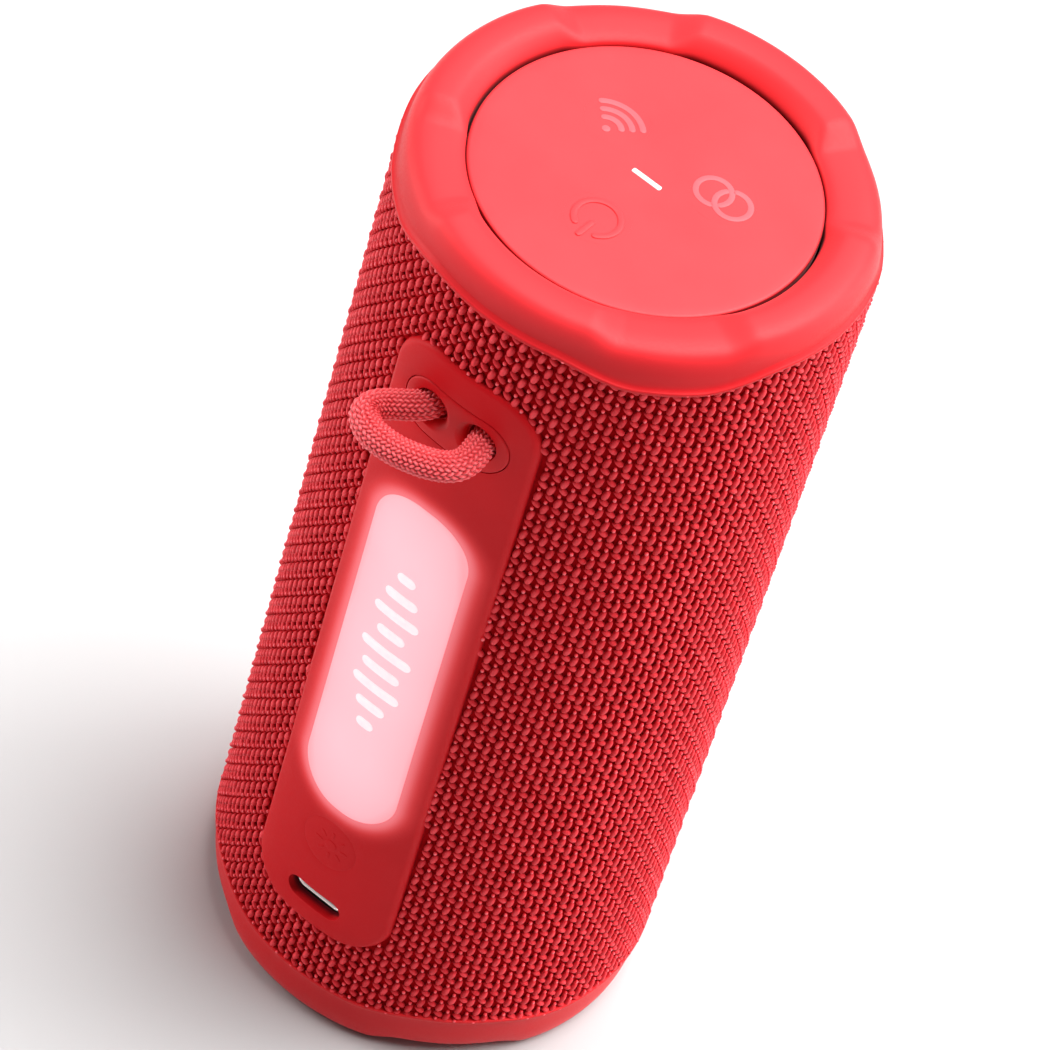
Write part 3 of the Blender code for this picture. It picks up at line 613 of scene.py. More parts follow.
def panel_look():
    """Translucent silicone: light from the window leaks into it and fades with distance, and painted shade
    darkens its side walls.
    """
    look = rubber("panel_silicone_look", 0.48, 0.7, 0.0, 0.10)
    color = look.mix(look.vary(CLOUD_SCALE, 3.0), PANEL_SHADE, PANEL_RED)
    # painted shade: below its face the panel's side walls go nearly black, as in the seams around it
    face = look.spread(look.radius(), 0.0336, 0.0345, smooth=True)
    look.set("Base Color", look.mix(face, PANEL_SIDE_PAINTED_SHADE, color))
    beyond = []
    for distance, half in zip(look.from_window(), (WINDOW_HALF_WIDTH, WINDOW_HALF_HEIGHT)):
        past = look.math("SUBTRACT", distance, (half - WINDOW_CORNER) * MM)
        beyond.append(look.math("MAXIMUM", past, 0.0))
    apart = look.math("SUBTRACT", look.length(*beyond), WINDOW_CORNER * MM)
    glow = look.spread(apart, 0.0, HALO_REACH * MM, 1.0, 0.0, smooth=True)
    near = look.spread(apart, 0.0, NEAR_HALO_REACH * MM, 1.0, 0.0, smooth=True)
    look.set("Emission Color", look.mix(near, FAR_HALO, NEAR_HALO))
    look.set("Emission Strength", look.math("MULTIPLY", look.math("POWER", glow, 2.4), 0.48))
    return look.material


def window_look():
    """A frosted light guide, lit from behind and brightest along its middle."""
    look = Look("light_window_look", 0.38)
    look.set("Base Color", (0.50, 0.20, 0.22))
    across, along = look.from_window()
    across = look.math("DIVIDE", across, WINDOW_HALF_WIDTH * MM)
    along = look.math("DIVIDE", along, WINDOW_HALF_HEIGHT * MM)
    edge = look.math("ADD", look.math("POWER", across, 2.6), look.math("POWER", along, 7.0))
    edge = look.math("ADD", edge, look.spread(look.noise(60.0, 1.0), 0.35, 0.65, -0.10, 0.10))
    look.set("Emission Color", look.mix(look.spread(edge, 0.0, 1.1), (1.0, 0.47, 0.53), (1.0, 0.33, 0.38)))
    look.set("Emission Strength", look.spread(edge, 0.80, 1.08, 0.85, 0.66))
    look.bump(look.noise(4200.0), 0.008, 0.5)
    return look.material


def glowing_look(name, color, strength):
    look = Look(name, 0.4)
    look.set("Base Color", (0.5, 0.3, 0.3))
    paler = tuple(0.75 * channel + 0.25 for channel in color)
    look.set("Emission Color", look.mix(look.vary(900.0, 2.0), color, paler))
    look.set("Emission Strength", strength)
    return look.material


def yarn_look(name, low_radius, high_radius, painted_crevice_shade, bright, painted_tip_highlight, fibre=1.0, gloss=0.16, sheen=0.08):
    """Twisted yarn: painted shade in the crevices and a painted highlight where it stands out, with fine
    fibres along it.
    """
    look = Look(name, 0.52)
    height = look.spread(look.radius(), low_radius * MM, high_radius * MM)
    height = look.math("ADD", height, look.vary(520.0, 2.0, -0.16, 0.14), clamp=True)
    fibres = look.noise(1.0, 3.0, stretch=(9000.0, 9000.0, 1700.0))
    # painted shade: the yarn darkens towards the axis, into the crevices
    base = look.mix(look.spread(height, 0.0, 0.62, smooth=True), painted_crevice_shade, bright)
    # painted highlight on the parts that stand out furthest
    base = look.mix(look.spread(height, 0.72, 1.0), base, painted_tip_highlight)
    # fine fibre streaks, drawn in the painted highlight colour
    base = look.mix(look.spread(fibres, 0.42, 0.75, 0.0, 0.35), base, painted_tip_highlight)
    nub = look.spread(look.radius(), NUB_RADII[0] * MM, NUB_RADII[1] * MM)
    # painted highlight: the nubs, which stand out furthest, turn pink
    look.set("Base Color", look.mix(look.math("MULTIPLY", nub, 0.65), base, NUB_PAINTED_HIGHLIGHT))
    look.set("Roughness", look.spread(fibres, 0.3, 0.7, 0.42, 0.62))
    look.set("Specular IOR Level", gloss)
    look.sheen(sheen, 0.35, (1.0, 0.4, 0.4))
    look.bump(fibres, 0.05 * fibre, 0.55)
    return look.material


def cord_look():
    """Polyester braid: painted shade between its strands, a painted highlight on top of them, and a silky
    sheen.
    """
    look = Look("lanyard_cord_look", 0.40)
    fibres = look.noise(6500.0, 3.0)
    relief = look.attribute("relief")
    base = look.mix(look.vary(700.0, 2.0), (0.78, 0.030, 0.040), (0.95, 0.080, 0.095))
    # painted shade between the strands, from the stored relief
    base = look.mix(look.spread(relief, 0.05, 0.65), (0.30, 0.002, 0.005), base)
    # painted highlight on the strands' tops
    base = look.mix(look.spread(relief, 0.70, 1.0), base, (1.0, 0.15, 0.17))
    look.set("Base Color", look.mix(look.spread(fibres, 0.5, 0.8, 0.0, 0.45), base, (0.95, 0.14, 0.16)))
    look.set("Roughness", look.spread(fibres, 0.3, 0.7, 0.30, 0.50))
    look.sheen(0.12, 0.3, (1.0, 0.6, 0.6))
    look.bump(fibres, 0.03, 0.5)
    return look.material


def plastic_look(name, color=(0.016, 0.016, 0.018), roughness=0.55, grain=1.0):
    """Moulded plastic with a spark-eroded texture."""
    look = Look(name)
    lighter = tuple(1.35 * part + 0.002 for part in color)
    look.set("Base Color", look.mix(look.noise(700.0, 3.0), color, lighter))
    look.set("Roughness", look.vary(1500.0, 3.0, roughness - 0.08, roughness + 0.08))
    look.bump(look.noise(3000.0, 3.0), 0.02 * grain, 0.6)
    return look.material


def drawn_metal(name, low, high):
    """The finish of drawn metal: fine lines, and roughness from low to high. Its colour is set apart."""
    look = Look(name, metallic=1.0)
    lines = look.noise(1.0, 2.0, stretch=(60.0, 60.0, 4000.0))
    look.set("Roughness", look.spread(lines, 0.3, 0.7, low, high))
    look.bump(lines, 0.004, 0.4)
    return look


def steel_look():
    """Plain steel with small stains."""
    look = drawn_metal("plain_steel_look", 0.26, 0.42)
    stains = look.spread(look.noise(300.0, 3.0), 0.35, 0.7)
    look.set("Base Color", look.mix(stains, (0.62, 0.62, 0.64), (0.4836, 0.4836, 0.4992)))
    return look.material


def socket_look():
    """Plated steel: a painted glint, a pale colour with an emission, lights its mouth, while painted shade,
    a darker colour, fills its inside.
    """
    look = drawn_metal("socket_steel_look", 0.24, 0.38)
    depth = look.math("MULTIPLY", look.axis("Y"), -1.0)
    # mouth marks the outer rim, where the painted glint goes
    mouth = look.spread(depth, 0.0326, 0.0331, smooth=True)
    # painted shade inside the socket, a pale colour at its mouth
    look.set("Base Color", look.mix(mouth, (0.30, 0.28, 0.28), (0.93, 0.92, 0.91)))
    look.set("Emission Color", (1.0, 0.90, 0.86))
    # painted glint: the mouth glows though it is no lamp
    look.set("Emission Strength", look.math("MULTIPLY", mouth, 0.42))
    return look.material


def board_look():
    """Solder mask over copper tracks, with plated pads."""
    look = Look("circuit_board_look", 0.32)
    tracks = look.cells(420.0, "DISTANCE_TO_EDGE")
    mask = look.mix(look.spread(tracks, 0.02, 0.05), (0.03, 0.16, 0.08), (0.008, 0.07, 0.035))
    pads = look.cells(650.0)
    look.set("Base Color", look.mix(look.spread(pads, 0.14, 0.17, 1.0, 0.0), mask, (0.75, 0.55, 0.22)))
    look.set("Metallic", look.spread(pads, 0.14, 0.17, 0.9, 0.0))
    look.bump(look.spread(tracks, 0.02, 0.06), 0.02, 0.5)
    return look.material


def textured_look(name, roughness, metallic, pattern, low, high, depth, strength):
    """The value that pattern(look) gives drives both the colour, from low to high, and the relief."""
    look = Look(name, roughness, metallic)
    height = pattern(look)
    look.set("Base Color", look.mix(height, low, high))
    look.bump(height, depth, strength)
    return look.material


def paper_fibres(look):
    return look.noise(1.0, 4.0, stretch=(3500.0, 900.0, 1400.0))


def cloth_weave(look):
    return look.math("MULTIPLY", look.wave(900.0, "X"), look.wave(900.0, "Z"))


def coil_turns(look):
    return look.wave(2400.0, "Y")


def ferrite_look():
    look = Look("magnet_grey_look", 0.6)
    look.set("Base Color", look.mix(look.noise(1200.0, 4.0), (0.03, 0.03, 0.034), (0.11, 0.11, 0.12)))
    look.bump(look.noise(1800.0, 4.0), 0.04, 0.6)
    return look.material


def sleeve_look(name, color, roughness=0.28):
    """Shrink film or wire insulation: glossy, with faint ripples."""
    look = Look(name, roughness)
    deeper = tuple(0.7 * part for part in color)
    look.set("Base Color", look.mix(look.noise(200.0), deeper, color))
    look.set("Coat Weight", 0.3)
    look.bump(look.noise(320.0), 0.05, 0.35)
    return look.material


LOOKS = {
    "end_rubber": ring_look(),
    "disc_silicone": disc_look(),
    "front_key_silicone": rubber_look("front_key_look", RED, RED_SHADE, 0.44, 0.6),
    "panel_silicone": panel_look(),
    "plate_silicone": rubber_look("lanyard_plate_look", PANEL_RED, PANEL_SHADE, 0.44, 0.6, 0.0, 0.14),
    "icon_print": rubber_look("icon_print_look", (0.86, 0.10, 0.115), (0.82, 0.085, 0.10), 0.4, 0.5),
    "light_diffuser": window_look(),
    "window_bars": glowing_look("window_bars_look", (1.0, 0.66, 0.71), 0.88),
    "status_diffuser": glowing_look("status_light_look", (1.0, 0.72, 0.73), 0.80),
    # the deepest red is painted shade in the crevices, the last colour a painted highlight on the bead tops
    "knit_beads": yarn_look("knit_large_look", 33.9, 34.85, (0.34, 0.003, 0.005), (0.66, 0.018, 0.028),
                            (0.88, 0.055, 0.070)),
    # the backing's dark reds are partly its own deep colour and partly painted shade for the crevices
    # between the beads
    "knit_base": yarn_look("knit_base_look", 33.0, 36.0, (0.30, 0.002, 0.004), (0.40, 0.004, 0.007),
                           (0.44, 0.006, 0.010), 0.6, 0.0, 0.0),
    "lanyard_cord": cord_look(),
    "socket_steel": socket_look(),
    "housing_plastic": plastic_look("housing_plastic_look"),
    "radiator_plastic": plastic_look("radiator_plastic_look", (0.02, 0.02, 0.022), 0.45),
    "seal_rubber": plastic_look("seal_rubber_look", (0.012, 0.012, 0.013), 0.75, 0.6),
    "cone_paper": textured_look("cone_paper_look", 0.82, 0.0, paper_fibres, (0.02, 0.02, 0.022),
                                (0.09, 0.085, 0.08), 0.06, 0.6),
    "spider_cloth": textured_look("spider_cloth_look", 0.75, 0.0, cloth_weave, (0.30, 0.15, 0.04),
                                  (0.62, 0.38, 0.14), 0.06, 0.7),
    "coil_metal": textured_look("coil_metal_look", 0.3, 1.0, coil_turns, (0.45, 0.14, 0.05),
                                (0.86, 0.42, 0.20), 0.05, 0.7),
    "plain_steel": steel_look(),
    "magnet_grey": ferrite_look(),
    "circuit_board": board_look(),
    "chip_black": plastic_look("chip_black_look", (0.012, 0.012, 0.014), 0.35, 0.5),
    "lamp_white": glowing_look("lamp_white_look", (1.0, 0.70, 0.72), 0.9),
    "cell_sleeve": sleeve_look("cell_sleeve_look", (0.03, 0.10, 0.42)),
    "wire_red": sleeve_look("wire_red_look", (0.60, 0.02, 0.02), 0.4),
    "wire_black": sleeve_look("wire_black_look", (0.015, 0.015, 0.017), 0.4),
}


# ---------------- lanyard cord

def smooth_route(points, per_span):
    """Catmull-Rom points through a list of points."""
    points = np.asarray(points, dtype=float)
    knots = np.concatenate([points[:1], points, points[-1:]])
    route = []
    for before, start, end, after in zip(knots, knots[1:], knots[2:], knots[3:]):
        slope = end - before
        square = 2 * before - 5 * start + 4 * end - after
        cube = 3 * start - before - 3 * end + after
        for t in np.arange(per_span) / per_span:
            route.append(0.5 * (2 * start + slope * t + square * t ** 2 + cube * t ** 3))
    return np.array(route + [points[-1]])


BRAID_STRANDS = 20                   # in each direction
BRAID_PITCH = 15.5                   # length in which a strand goes once around
BRAID_STEP = 0.10
BRAID_SIDES = 200
BRAID_CORE = 1.82
BRAID_RELIEF = 0.46
ROUTE_SMOOTHINGS = 12


def braid_height(around, along):
    """0..1 over a braid whose strands pass over two of the other direction, then under two."""
    first = BRAID_STRANDS * (around + along / BRAID_PITCH)
    second = BRAID_STRANDS * (around - along / BRAID_PITCH)
    step = (np.floor(first) + np.floor(second)) % 4
    over = step < 2
    across = np.where(over, first, second) % 1.0 * 2.0 - 1.0
    length = np.where(over, step + second % 1.0, step - 2.0 + first % 1.0) - 1.0
    return np.sqrt(np.clip(1.0 - across ** 2.0, 0.0, 1.0)) * (1.0 - 0.75 * length ** 2.0)


def braided_cord():
    rough = smooth_route(CORD_ROUTE, 16)
    lengths = np.concatenate([[0.0], np.cumsum(np.linalg.norm(np.diff(rough, axis=0), axis=1))])
    count = int(lengths[-1] / BRAID_STEP)
    marks = np.linspace(0.0, lengths[-1], count)
    centre = np.stack([np.interp(marks, lengths, rough[:, i]) for i in range(3)], 1)
    for _ in range(ROUTE_SMOOTHINGS):
        centre[1:-1] = 0.25 * centre[:-2] + 0.5 * centre[1:-1] + 0.25 * centre[2:]
    along = np.gradient(centre, axis=0)
    along /= np.linalg.norm(along, axis=1, keepdims=True)
    side = np.cross(along[0], (0.0, 0.0, 1.0))
    sides = []
    for direction in along:
        side = side - direction * np.dot(side, direction)
        side = side / np.linalg.norm(side)
        sides.append(side)
    sides = np.array(sides)
    ups = np.cross(along, sides)
    around = np.arange(BRAID_SIDES) / BRAID_SIDES
    angles = 2.0 * math.pi * around
    relief = braid_height(around[None, :], marks[:, None])
    radius = BRAID_CORE + BRAID_RELIEF * relief
    rings = (centre[:, None, :] + radius[..., None] * (np.cos(angles)[None, :, None] * sides[:, None, :]
                                                       + np.sin(angles)[None, :, None] * ups[:, None, :]))
    points = np.concatenate([rings.reshape(-1, 3), centre[:1], centre[-1:]])
    faces = [tuple(face) for face in grid_faces(count, BRAID_SIDES)[:, ::-1].tolist()]
    last = (count - 1) * BRAID_SIDES
    for i in range(BRAID_SIDES):
        j = (i + 1) % BRAID_SIDES
        faces.append((i, j, len(points) - 2))
        faces.append((last + j, last + i, len(points) - 1))
    item = store("lanyard_braid", points, faces, sharp_degrees=None)
    shade = np.concatenate([relief.ravel(), [0.0, 0.0]])
    item.data.attributes.new("relief", "FLOAT", "POINT").data.foreach_set("value", shade)
    finish_piece(item, "body", "lanyard_cord", ["lanyard_loop"])


braided_cord()


# ---------------- end rings

def lobe_weight(angle, half_angle=SCOOP_HALF_ANGLE, blend=SCOOP_BLEND):
    """1 on the four lobes at 0, 90, 180 and 270 degrees, 0 in the scoops between them."""
    quarter = math.pi / 2
    off_centre = np.abs((angle % quarter) - quarter / 2)
    t = np.clip((off_centre - (half_angle - blend)) / blend, 0.0, 1.0)
    return t * t * (3.0 - 2.0 * t)


def rim_depth(depths, angle):
    weight = lobe_weight(angle, WALL_HALF_ANGLE, WALL_BLEND)
    return depths[1] + (depths[0] - depths[1]) * weight


RING_ANGLES = np.linspace(0.0, 2.0 * math.pi, RING_STEPS, endpoint=False)


def ring_points(rim_depths, flip):
    """Points of an end ring, angle by angle, with its softened section at each."""
    weight = lobe_weight(RING_ANGLES)[:, None, None]
    wide = lobe_weight(RING_ANGLES, WALL_HALF_ANGLE, WALL_BLEND)[:, None, None]
    share = np.array(WALL_SHARE)[None, :, None]
    lobe = np.array(LOBE_SECTION)
    scoop = np.array(SCOOP_SECTION)
    outer = scoop + (lobe - scoop) * (weight * (1.0 - share) + wide * share)
    inner = np.array(SCOOP_INNER) + (np.array(LOBE_INNER) - np.array(SCOOP_INNER)) * weight
    rim = rim_depth(rim_depths, RING_ANGLES)[:, None]
    lip = np.stack([np.hstack([np.full_like(rim, radius), rim + depth]) for radius, depth in LIP_SECTION], 1)
    # crease holds the weight of the painted shade along the inner side, stronger on the lobes
    crease = np.zeros((len(RING_ANGLES), outer.shape[1] + lip.shape[1] + inner.shape[1], 1))
    crease[:, -inner.shape[1]:, 0] = np.array(INNER_CREASE) * (0.4 + 0.6 * weight[:, :, 0])
    section = soften(np.concatenate([np.concatenate([outer, lip, inner], 1), crease], 2), 3)
    radius = section[..., 0]
    depth = section[..., 1]
    z = HEIGHT - depth if flip else depth
    angles = RING_ANGLES[:, None]
    points = np.stack([radius * np.cos(angles), radius * np.sin(angles), z], 2)
    return points, section[..., 2]


def end_ring(name, node, rim_depths, flip):
    points, crease = ring_points(rim_depths, flip)
    rows, columns = points.shape[:2]
    faces = grid_faces(rows, columns, wrap_rows=True)
    if not flip:
        faces = faces[:, ::-1]
    item = store(name, points.reshape(-1, 3), faces, sharp_degrees=None)
    item.data.attributes.new("crease_shade", "FLOAT", "POINT").data.foreach_set("value", crease.ravel())
    finish_piece(item, "body", "end_rubber", [node])


end_ring("top_ring_rubber", "top_ring", TOP_RIM_DEPTHS, True)
end_ring("bottom_ring_rubber", "bottom_ring", BOTTOM_RIM_DEPTHS, False)


# ---------------- knitted sleeve

BEAD_SIDES = 8
BEAD_RINGS = 5


def bead_template(half_width, half_length, half_depth, lean, taper, lift):
    """Points (across, up, out) of one yarn bead, and its triangles."""
    points = [(0.0, -half_length, 0.0)]
    for ring in range(BEAD_RINGS):
        polar = math.pi * (ring + 1) / (BEAD_RINGS + 1)
        up = -math.cos(polar)
        girth = math.sin(polar) ** 0.6 * (1.0 - taper * up)
        for side in range(BEAD_SIDES):
            angle = 2.0 * math.pi * side / BEAD_SIDES
            points.append((girth * half_width * math.cos(angle), up * half_length,
                           girth * half_depth * math.sin(angle)))
    points.append((0.0, half_length, 0.0))
    points = np.array(points)
    points[:, 0] += math.tan(lean) * points[:, 1]
    points[:, 2] += lift * points[:, 1] / half_length
    triangles = []
    last = len(points) - 1
    for side in range(BEAD_SIDES):
        after = (side + 1) % BEAD_SIDES
        triangles.append((0, 1 + side, 1 + after))
        start = 1 + (BEAD_RINGS - 1) * BEAD_SIDES
        triangles.append((last, start + after, start + side))
        for ring in range(BEAD_RINGS - 1):
            a = 1 + ring * BEAD_SIDES
            b = a + BEAD_SIDES
            triangles.append((a + side, b + side, b + after))
            triangles.append((a + side, b + after, a + after))
    return points, np.array(triangles)


def turned_bead(bead, angle):
    """The same bead turned in the plane of the cloth, its top end towards the left."""
    points, triangles = bead
    across = points[:, 0] * math.cos(angle) - points[:, 1] * math.sin(angle)
    up = points[:, 0] * math.sin(angle) + points[:, 1] * math.cos(angle)
    return np.stack([across, up, points[:, 2]], 1), triangles


def sleeve_limits(angle):
    """Heights between which the knit shows at an angle, a little under both lips."""
    low = rim_depth(BOTTOM_RIM_DEPTHS, angle) - KNIT_TUCK
    high = HEIGHT - rim_depth(TOP_RIM_DEPTHS, angle) + KNIT_TUCK
    return low, high


def covered(x, y, z):
    """Where the rear panel or a front key's bezel takes the knit's place."""
    qx = np.abs(x) - (PANEL_HALF_WIDTH - PANEL_CORNER)
    qz = np.abs(z - PANEL_MIDDLE) - (PANEL_HALF_HEIGHT - PANEL_CORNER)
    apart = np.hypot(np.maximum(qx, 0.0), np.maximum(qz, 0.0)) + np.minimum(np.maximum(qx, qz), 0.0)
    hidden = (y < 0) & (apart < PANEL_CORNER - 0.05)
    for height in FRONT_KEYS.values():
        hidden |= (y > 0) & (np.hypot(x, z - height) < BEZEL_OUTER + 0.1)
    return hidden


def knit():
    random = np.random.default_rng(7)
    large = bead_template(0.54, 0.98, 0.54, math.radians(11.0), 0.04, 0.03)
    small = turned_bead(bead_template(0.46, 0.80, 0.48, 0.0, 0.14, 0.0), math.radians(52.0))
    nub = bead_template(0.29, 0.29, 0.30, 0.0, 0.0, 0.0)
    # shape, height in the period, distance along the course, radius and half length of each bead
    kinds = [
        (large, 0.0, 0.0, 34.30, 0.98),
        (small, 2.62, 0.08, 34.28, 0.62),
        (nub, 1.74, -0.12, 34.67, 0.29),
    ]
    rows = np.arange(*KNIT_ROWS)
    for sector in range(KNIT_SECTORS):
        low_column = sector * KNIT_COLUMNS // KNIT_SECTORS
        high_column = (sector + 1) * KNIT_COLUMNS // KNIT_SECTORS
        points = []
        faces = []
        first = 0
        for column in range(low_column, high_column):
            angle = 2.0 * math.pi * column / KNIT_COLUMNS
            for (shape, triangles), offset, shift, radius, half_length in kinds:
                base = rows * KNIT_PERIOD + offset + (column % 2) * KNIT_PERIOD / 2 - column * KNIT_SLANT
                centres = base + random.normal(0.0, HEIGHT_SPREAD, len(rows))
                sizes = 1.0 + random.normal(0.0, SIZE_SPREAD, len(rows))
                radii = radius + random.normal(0.0, RADIUS_SPREAD, len(rows))
                low, high = sleeve_limits(angle + math.tan(KNIT_LEAN) * centres / radius)
                bottom = np.maximum(centres - half_length, low)
                top = np.minimum(centres + half_length, high)
                stretch = (top - bottom) / (2 * half_length)
                centres = (top + bottom) / 2
                turns = angle + (shift + math.tan(KNIT_LEAN) * centres) / radius
                hidden = covered(radii * np.cos(turns), radii * np.sin(turns), centres)
                keep = (stretch > LEAST_STRETCH) & ~hidden
                for centre, size, out, squeeze, heading in zip(centres[keep], sizes[keep], radii[keep],
                                                               stretch[keep], turns[keep]):
                    across = shape[:, 0] * size
                    outward = out + shape[:, 2] * size
                    bead = np.stack([outward * math.cos(heading) - across * math.sin(heading),
                                     outward * math.sin(heading) + across * math.cos(heading),
                                     centre + shape[:, 1] * squeeze], 1)
                    points.append(bead)
                    faces.append(triangles + first)
                    first += len(bead)
        name = "knit_%02d" % (sector + 1)
        item = store(name, np.concatenate(points), np.concatenate(faces), sharp_degrees=None)
        finish_piece(item, "body", "knitted_fabric", look="knit_beads")


def knit_base():
    """The tight backing cloth that shows between the beads."""
    angles = np.linspace(0.0, 2.0 * math.pi, BACKING_COLUMNS, endpoint=False)
    low, high = sleeve_limits(angles)
    rows = []
    for radius in (KNIT_BASE, KNIT_BASE - KNIT_BASE_THICKNESS):
        for share in np.linspace(0.0, 1.0, BACKING_ROWS):
            height = low + (high - low) * share
            rows.append(np.stack([radius * np.cos(angles), radius * np.sin(angles), height], 1))
    points = np.concatenate(rows[:BACKING_ROWS] + rows[BACKING_ROWS:][::-1])
    faces = grid_faces(2 * BACKING_ROWS, BACKING_COLUMNS, wrap_rows=True)
    item = store("knit_backing", points, faces, sharp_degrees=40.0)
    lap = 0.6                        # of the panel over the cloth's edge
    hole = rounded_box(PANEL_HALF_WIDTH - lap, PANEL_HALF_HEIGHT - lap, PANEL_CORNER - lap, 0.0,
                       PANEL_MIDDLE)
    cut_out(item, plate("cut_panel", [hole], facing_back, 20.0, 45.0, 0.0))
    for height in FRONT_KEYS.values():
        hole = circle(BEZEL_OUTER - lap / 2, 0.0, height)
        cut_out(item, plate("cut_key", [hole], facing_front, 20.0, 45.0, 0.0))
    item.data.shade_smooth()
    item.data.set_sharp_from_angle(angle=math.radians(40.0))
    finish_piece(item, "body", "knitted_fabric", ["fabric_sleeve"], look="knit_base")


knit()
knit_base()


# ---------------- rear panel, window, plate and light key

LEVEL_BARS = (0.7, 2.0, 3.1, 1.6, 3.6, 2.5, 3.3, 1.7, 0.6)
LEVEL_TOP = 103.0
LEVEL_PITCH = 4.1
LEVEL_HALF_WIDTH = 0.95


def rear_panel():
    outline = rounded_box(PANEL_HALF_WIDTH, PANEL_HALF_HEIGHT, PANEL_CORNER, 0.0, PANEL_MIDDLE)
    window = rounded_box(WINDOW_HALF_WIDTH, WINDOW_HALF_HEIGHT, WINDOW_CORNER, 0.0, WINDOW_MIDDLE)
    seat = pill(PLATE_HALF_WIDTH + PLATE_GAP, PLATE_HALF_HEIGHT + PLATE_GAP, PLATE_Z, 0.3)
    slot = pill(*USB_SLOT, USB_Z, 0.2)
    key = circle(LIGHT_KEY_RADIUS, 0.0, LIGHT_KEY_Z)
    panel = plate("rear_panel_silicone", [(outline, [window, seat, slot, key])], on_rear, -1.9, 0.0, 0.9,
                  hole_rounding=0.02, spacing=0.8)
    finish_piece(panel, "body", "panel_silicone", ["rear_panel"])


def light_window():
    sizes = [size - WINDOW_SEAM for size in (WINDOW_HALF_WIDTH, WINDOW_HALF_HEIGHT, WINDOW_CORNER)]
    outline = rounded_box(*sizes, 0.0, WINDOW_MIDDLE)
    window = plate("light_window_guide", [outline], on_rear, -1.9, -0.005, 0.03, spacing=0.8)
    finish_piece(window, "body", "light_diffuser", ["light_window"])
    bars = []
    for index, half in enumerate(LEVEL_BARS):
        v = LEVEL_TOP - LEVEL_PITCH * index
        bars.append(stroke(segment((-half, v), (half, v)), LEVEL_HALF_WIDTH))
    mark = plate("window_level_bars", bars, on_rear, -0.3, 0.06, 0.06, spacing=0.6)
    finish_piece(mark, "body", "light_diffuser", look="window_bars")


def countersink(x):
    """A hole that flares smoothly into the plate's face."""
    profile = [(0.0, 38.0)] + [(2.50 + 1.75 * (1 - math.cos(t)) ** 1.3, 32.4 + 2.95 * math.sin(t))
                               for t in np.linspace(math.pi / 2, 0.0, 14)] + [(2.50, 30.0), (0.0, 30.0)]
    profile.insert(1, (profile[1][0], 38.0))
    return turned("cut_cord", profile, 72,
                  lambda p: np.stack([p[:, 0] + x, -p[:, 2], p[:, 1] + LANYARD_Z], 1))


def lanyard_plate():
    outline = pill(PLATE_HALF_WIDTH, PLATE_HALF_HEIGHT, PLATE_Z, 0.3)
    item = plate("lanyard_plate_silicone", [outline], on_rear, -1.9, 0.10, 0.30, spacing=0.6)
    for x in (-LANYARD_X, LANYARD_X):
        cut_out(item, countersink(x))
    item.data.shade_smooth()
    item.data.set_sharp_from_angle(angle=math.radians(50.0))
    finish_piece(item, "body", "panel_silicone", ["lanyard_plate"], look="plate_silicone")


def grommets():
    """A blind silicone liner in each of the housing's two cord holes."""
    profile = [(0.0, -31.2), (2.5, -31.2), (2.5, -33.7), (2.87, -33.7), (2.87, -30.9), (0.0, -30.9)]
    for side, x in (("left", -LANYARD_X), ("right", LANYARD_X)):
        item = turned("lanyard_grommet_" + side, profile, 64,
                      lambda p: np.stack([p[:, 0] + x, p[:, 2], p[:, 1] + LANYARD_Z], 1))
        finish_piece(item, "body", "panel_silicone", look="plate_silicone")


def sun_icon(radius):
    """A small disc with eight rays."""
    shapes = [circle(radius * 0.36, count=40)]
    for ray in range(8):
        angle = math.radians(45.0 * ray)
        direction = np.array([math.cos(angle), math.sin(angle)])
        shapes.append(stroke(segment(direction * radius * 0.62, direction * radius * 0.92), radius * 0.09))
    return shapes


def light_key():
    outline = circle(LIGHT_KEY_RADIUS - KEY_SEAM, 0.0, LIGHT_KEY_Z)
    key = plate("light_key_silicone", [outline], on_rear, -3.9, 0.0, 0.02, spacing=0.7)
    finish_piece(key, "light_key", "panel_silicone", ["light_key"])
    shapes = [moved(shape, 0.4, LIGHT_KEY_Z) for shape in sun_icon(3.0)]
    icon = plate("light_key_icon", shapes, on_rear, -0.2, 0.05, 0.05, spacing=0.5)
    finish_piece(icon, "light_key", "panel_silicone")


rear_panel()
light_window()
lanyard_plate()
grommets()
light_key()


# ---------------- charging socket

def charging_socket():
    outer = pill(*USB_SHELL, USB_Z, 0.15)
    bore = pill(USB_SHELL[0] - USB_WALL, USB_SHELL[1] - USB_WALL, USB_Z, 0.15)
    shell = plate("charging_socket_shell", [(outer, [bore])], facing_back, 25.7, 33.2, 0.09, spacing=0.4)
    finish_piece(shell, "body", "socket_steel", ["usb_shell"])
    blade = rounded_box(3.35, 0.35, 0.2, 0.0, USB_Z, spacing=0.15)
    tongue = plate("charging_socket_tongue", [blade], facing_back, 26.2, 32.3, 0.1, spacing=0.4)
    finish_piece(tongue, "body", "chip_black", ["usb_tongue"])


charging_socket()


# ---------------- top controls

def polar(radius, degrees):
    angle = math.radians(degrees)
    return radius * math.cos(angle), radius * math.sin(angle)


def power_icon():
    """A broken ring with a stem. The gap faces -Y, towards the rear."""
    ring = stroke(arc(3.35, -90.0 + 32.0, 270.0 - 32.0, count=64), 0.5)
    stem = stroke(segment((0.0, -1.3), (0.0, -4.24)), 0.5)
    return [ring, stem]


def pairing_icon():
    """A dot with three waves, for a wireless connection."""
    shapes = [circle(0.62, count=32)]
    for radius in (2.2, 3.75, 5.3):
        shapes.append(stroke(arc(radius, 45.0, 135.0, count=30), 0.48))
    return [moved(shape, 0.0, -2.6) for shape in shapes]


def link_icon():
    """Two rings that overlap, for playing on two speakers."""
    return [stroke(arc(2.6, -49.0 + 17.0, 311.0 - 17.0, -1.68, 0.0, 72), 0.44),
            stroke(arc(2.6, 131.0 + 17.0, 491.0 - 17.0, 1.68, 0.0, 72), 0.44)]


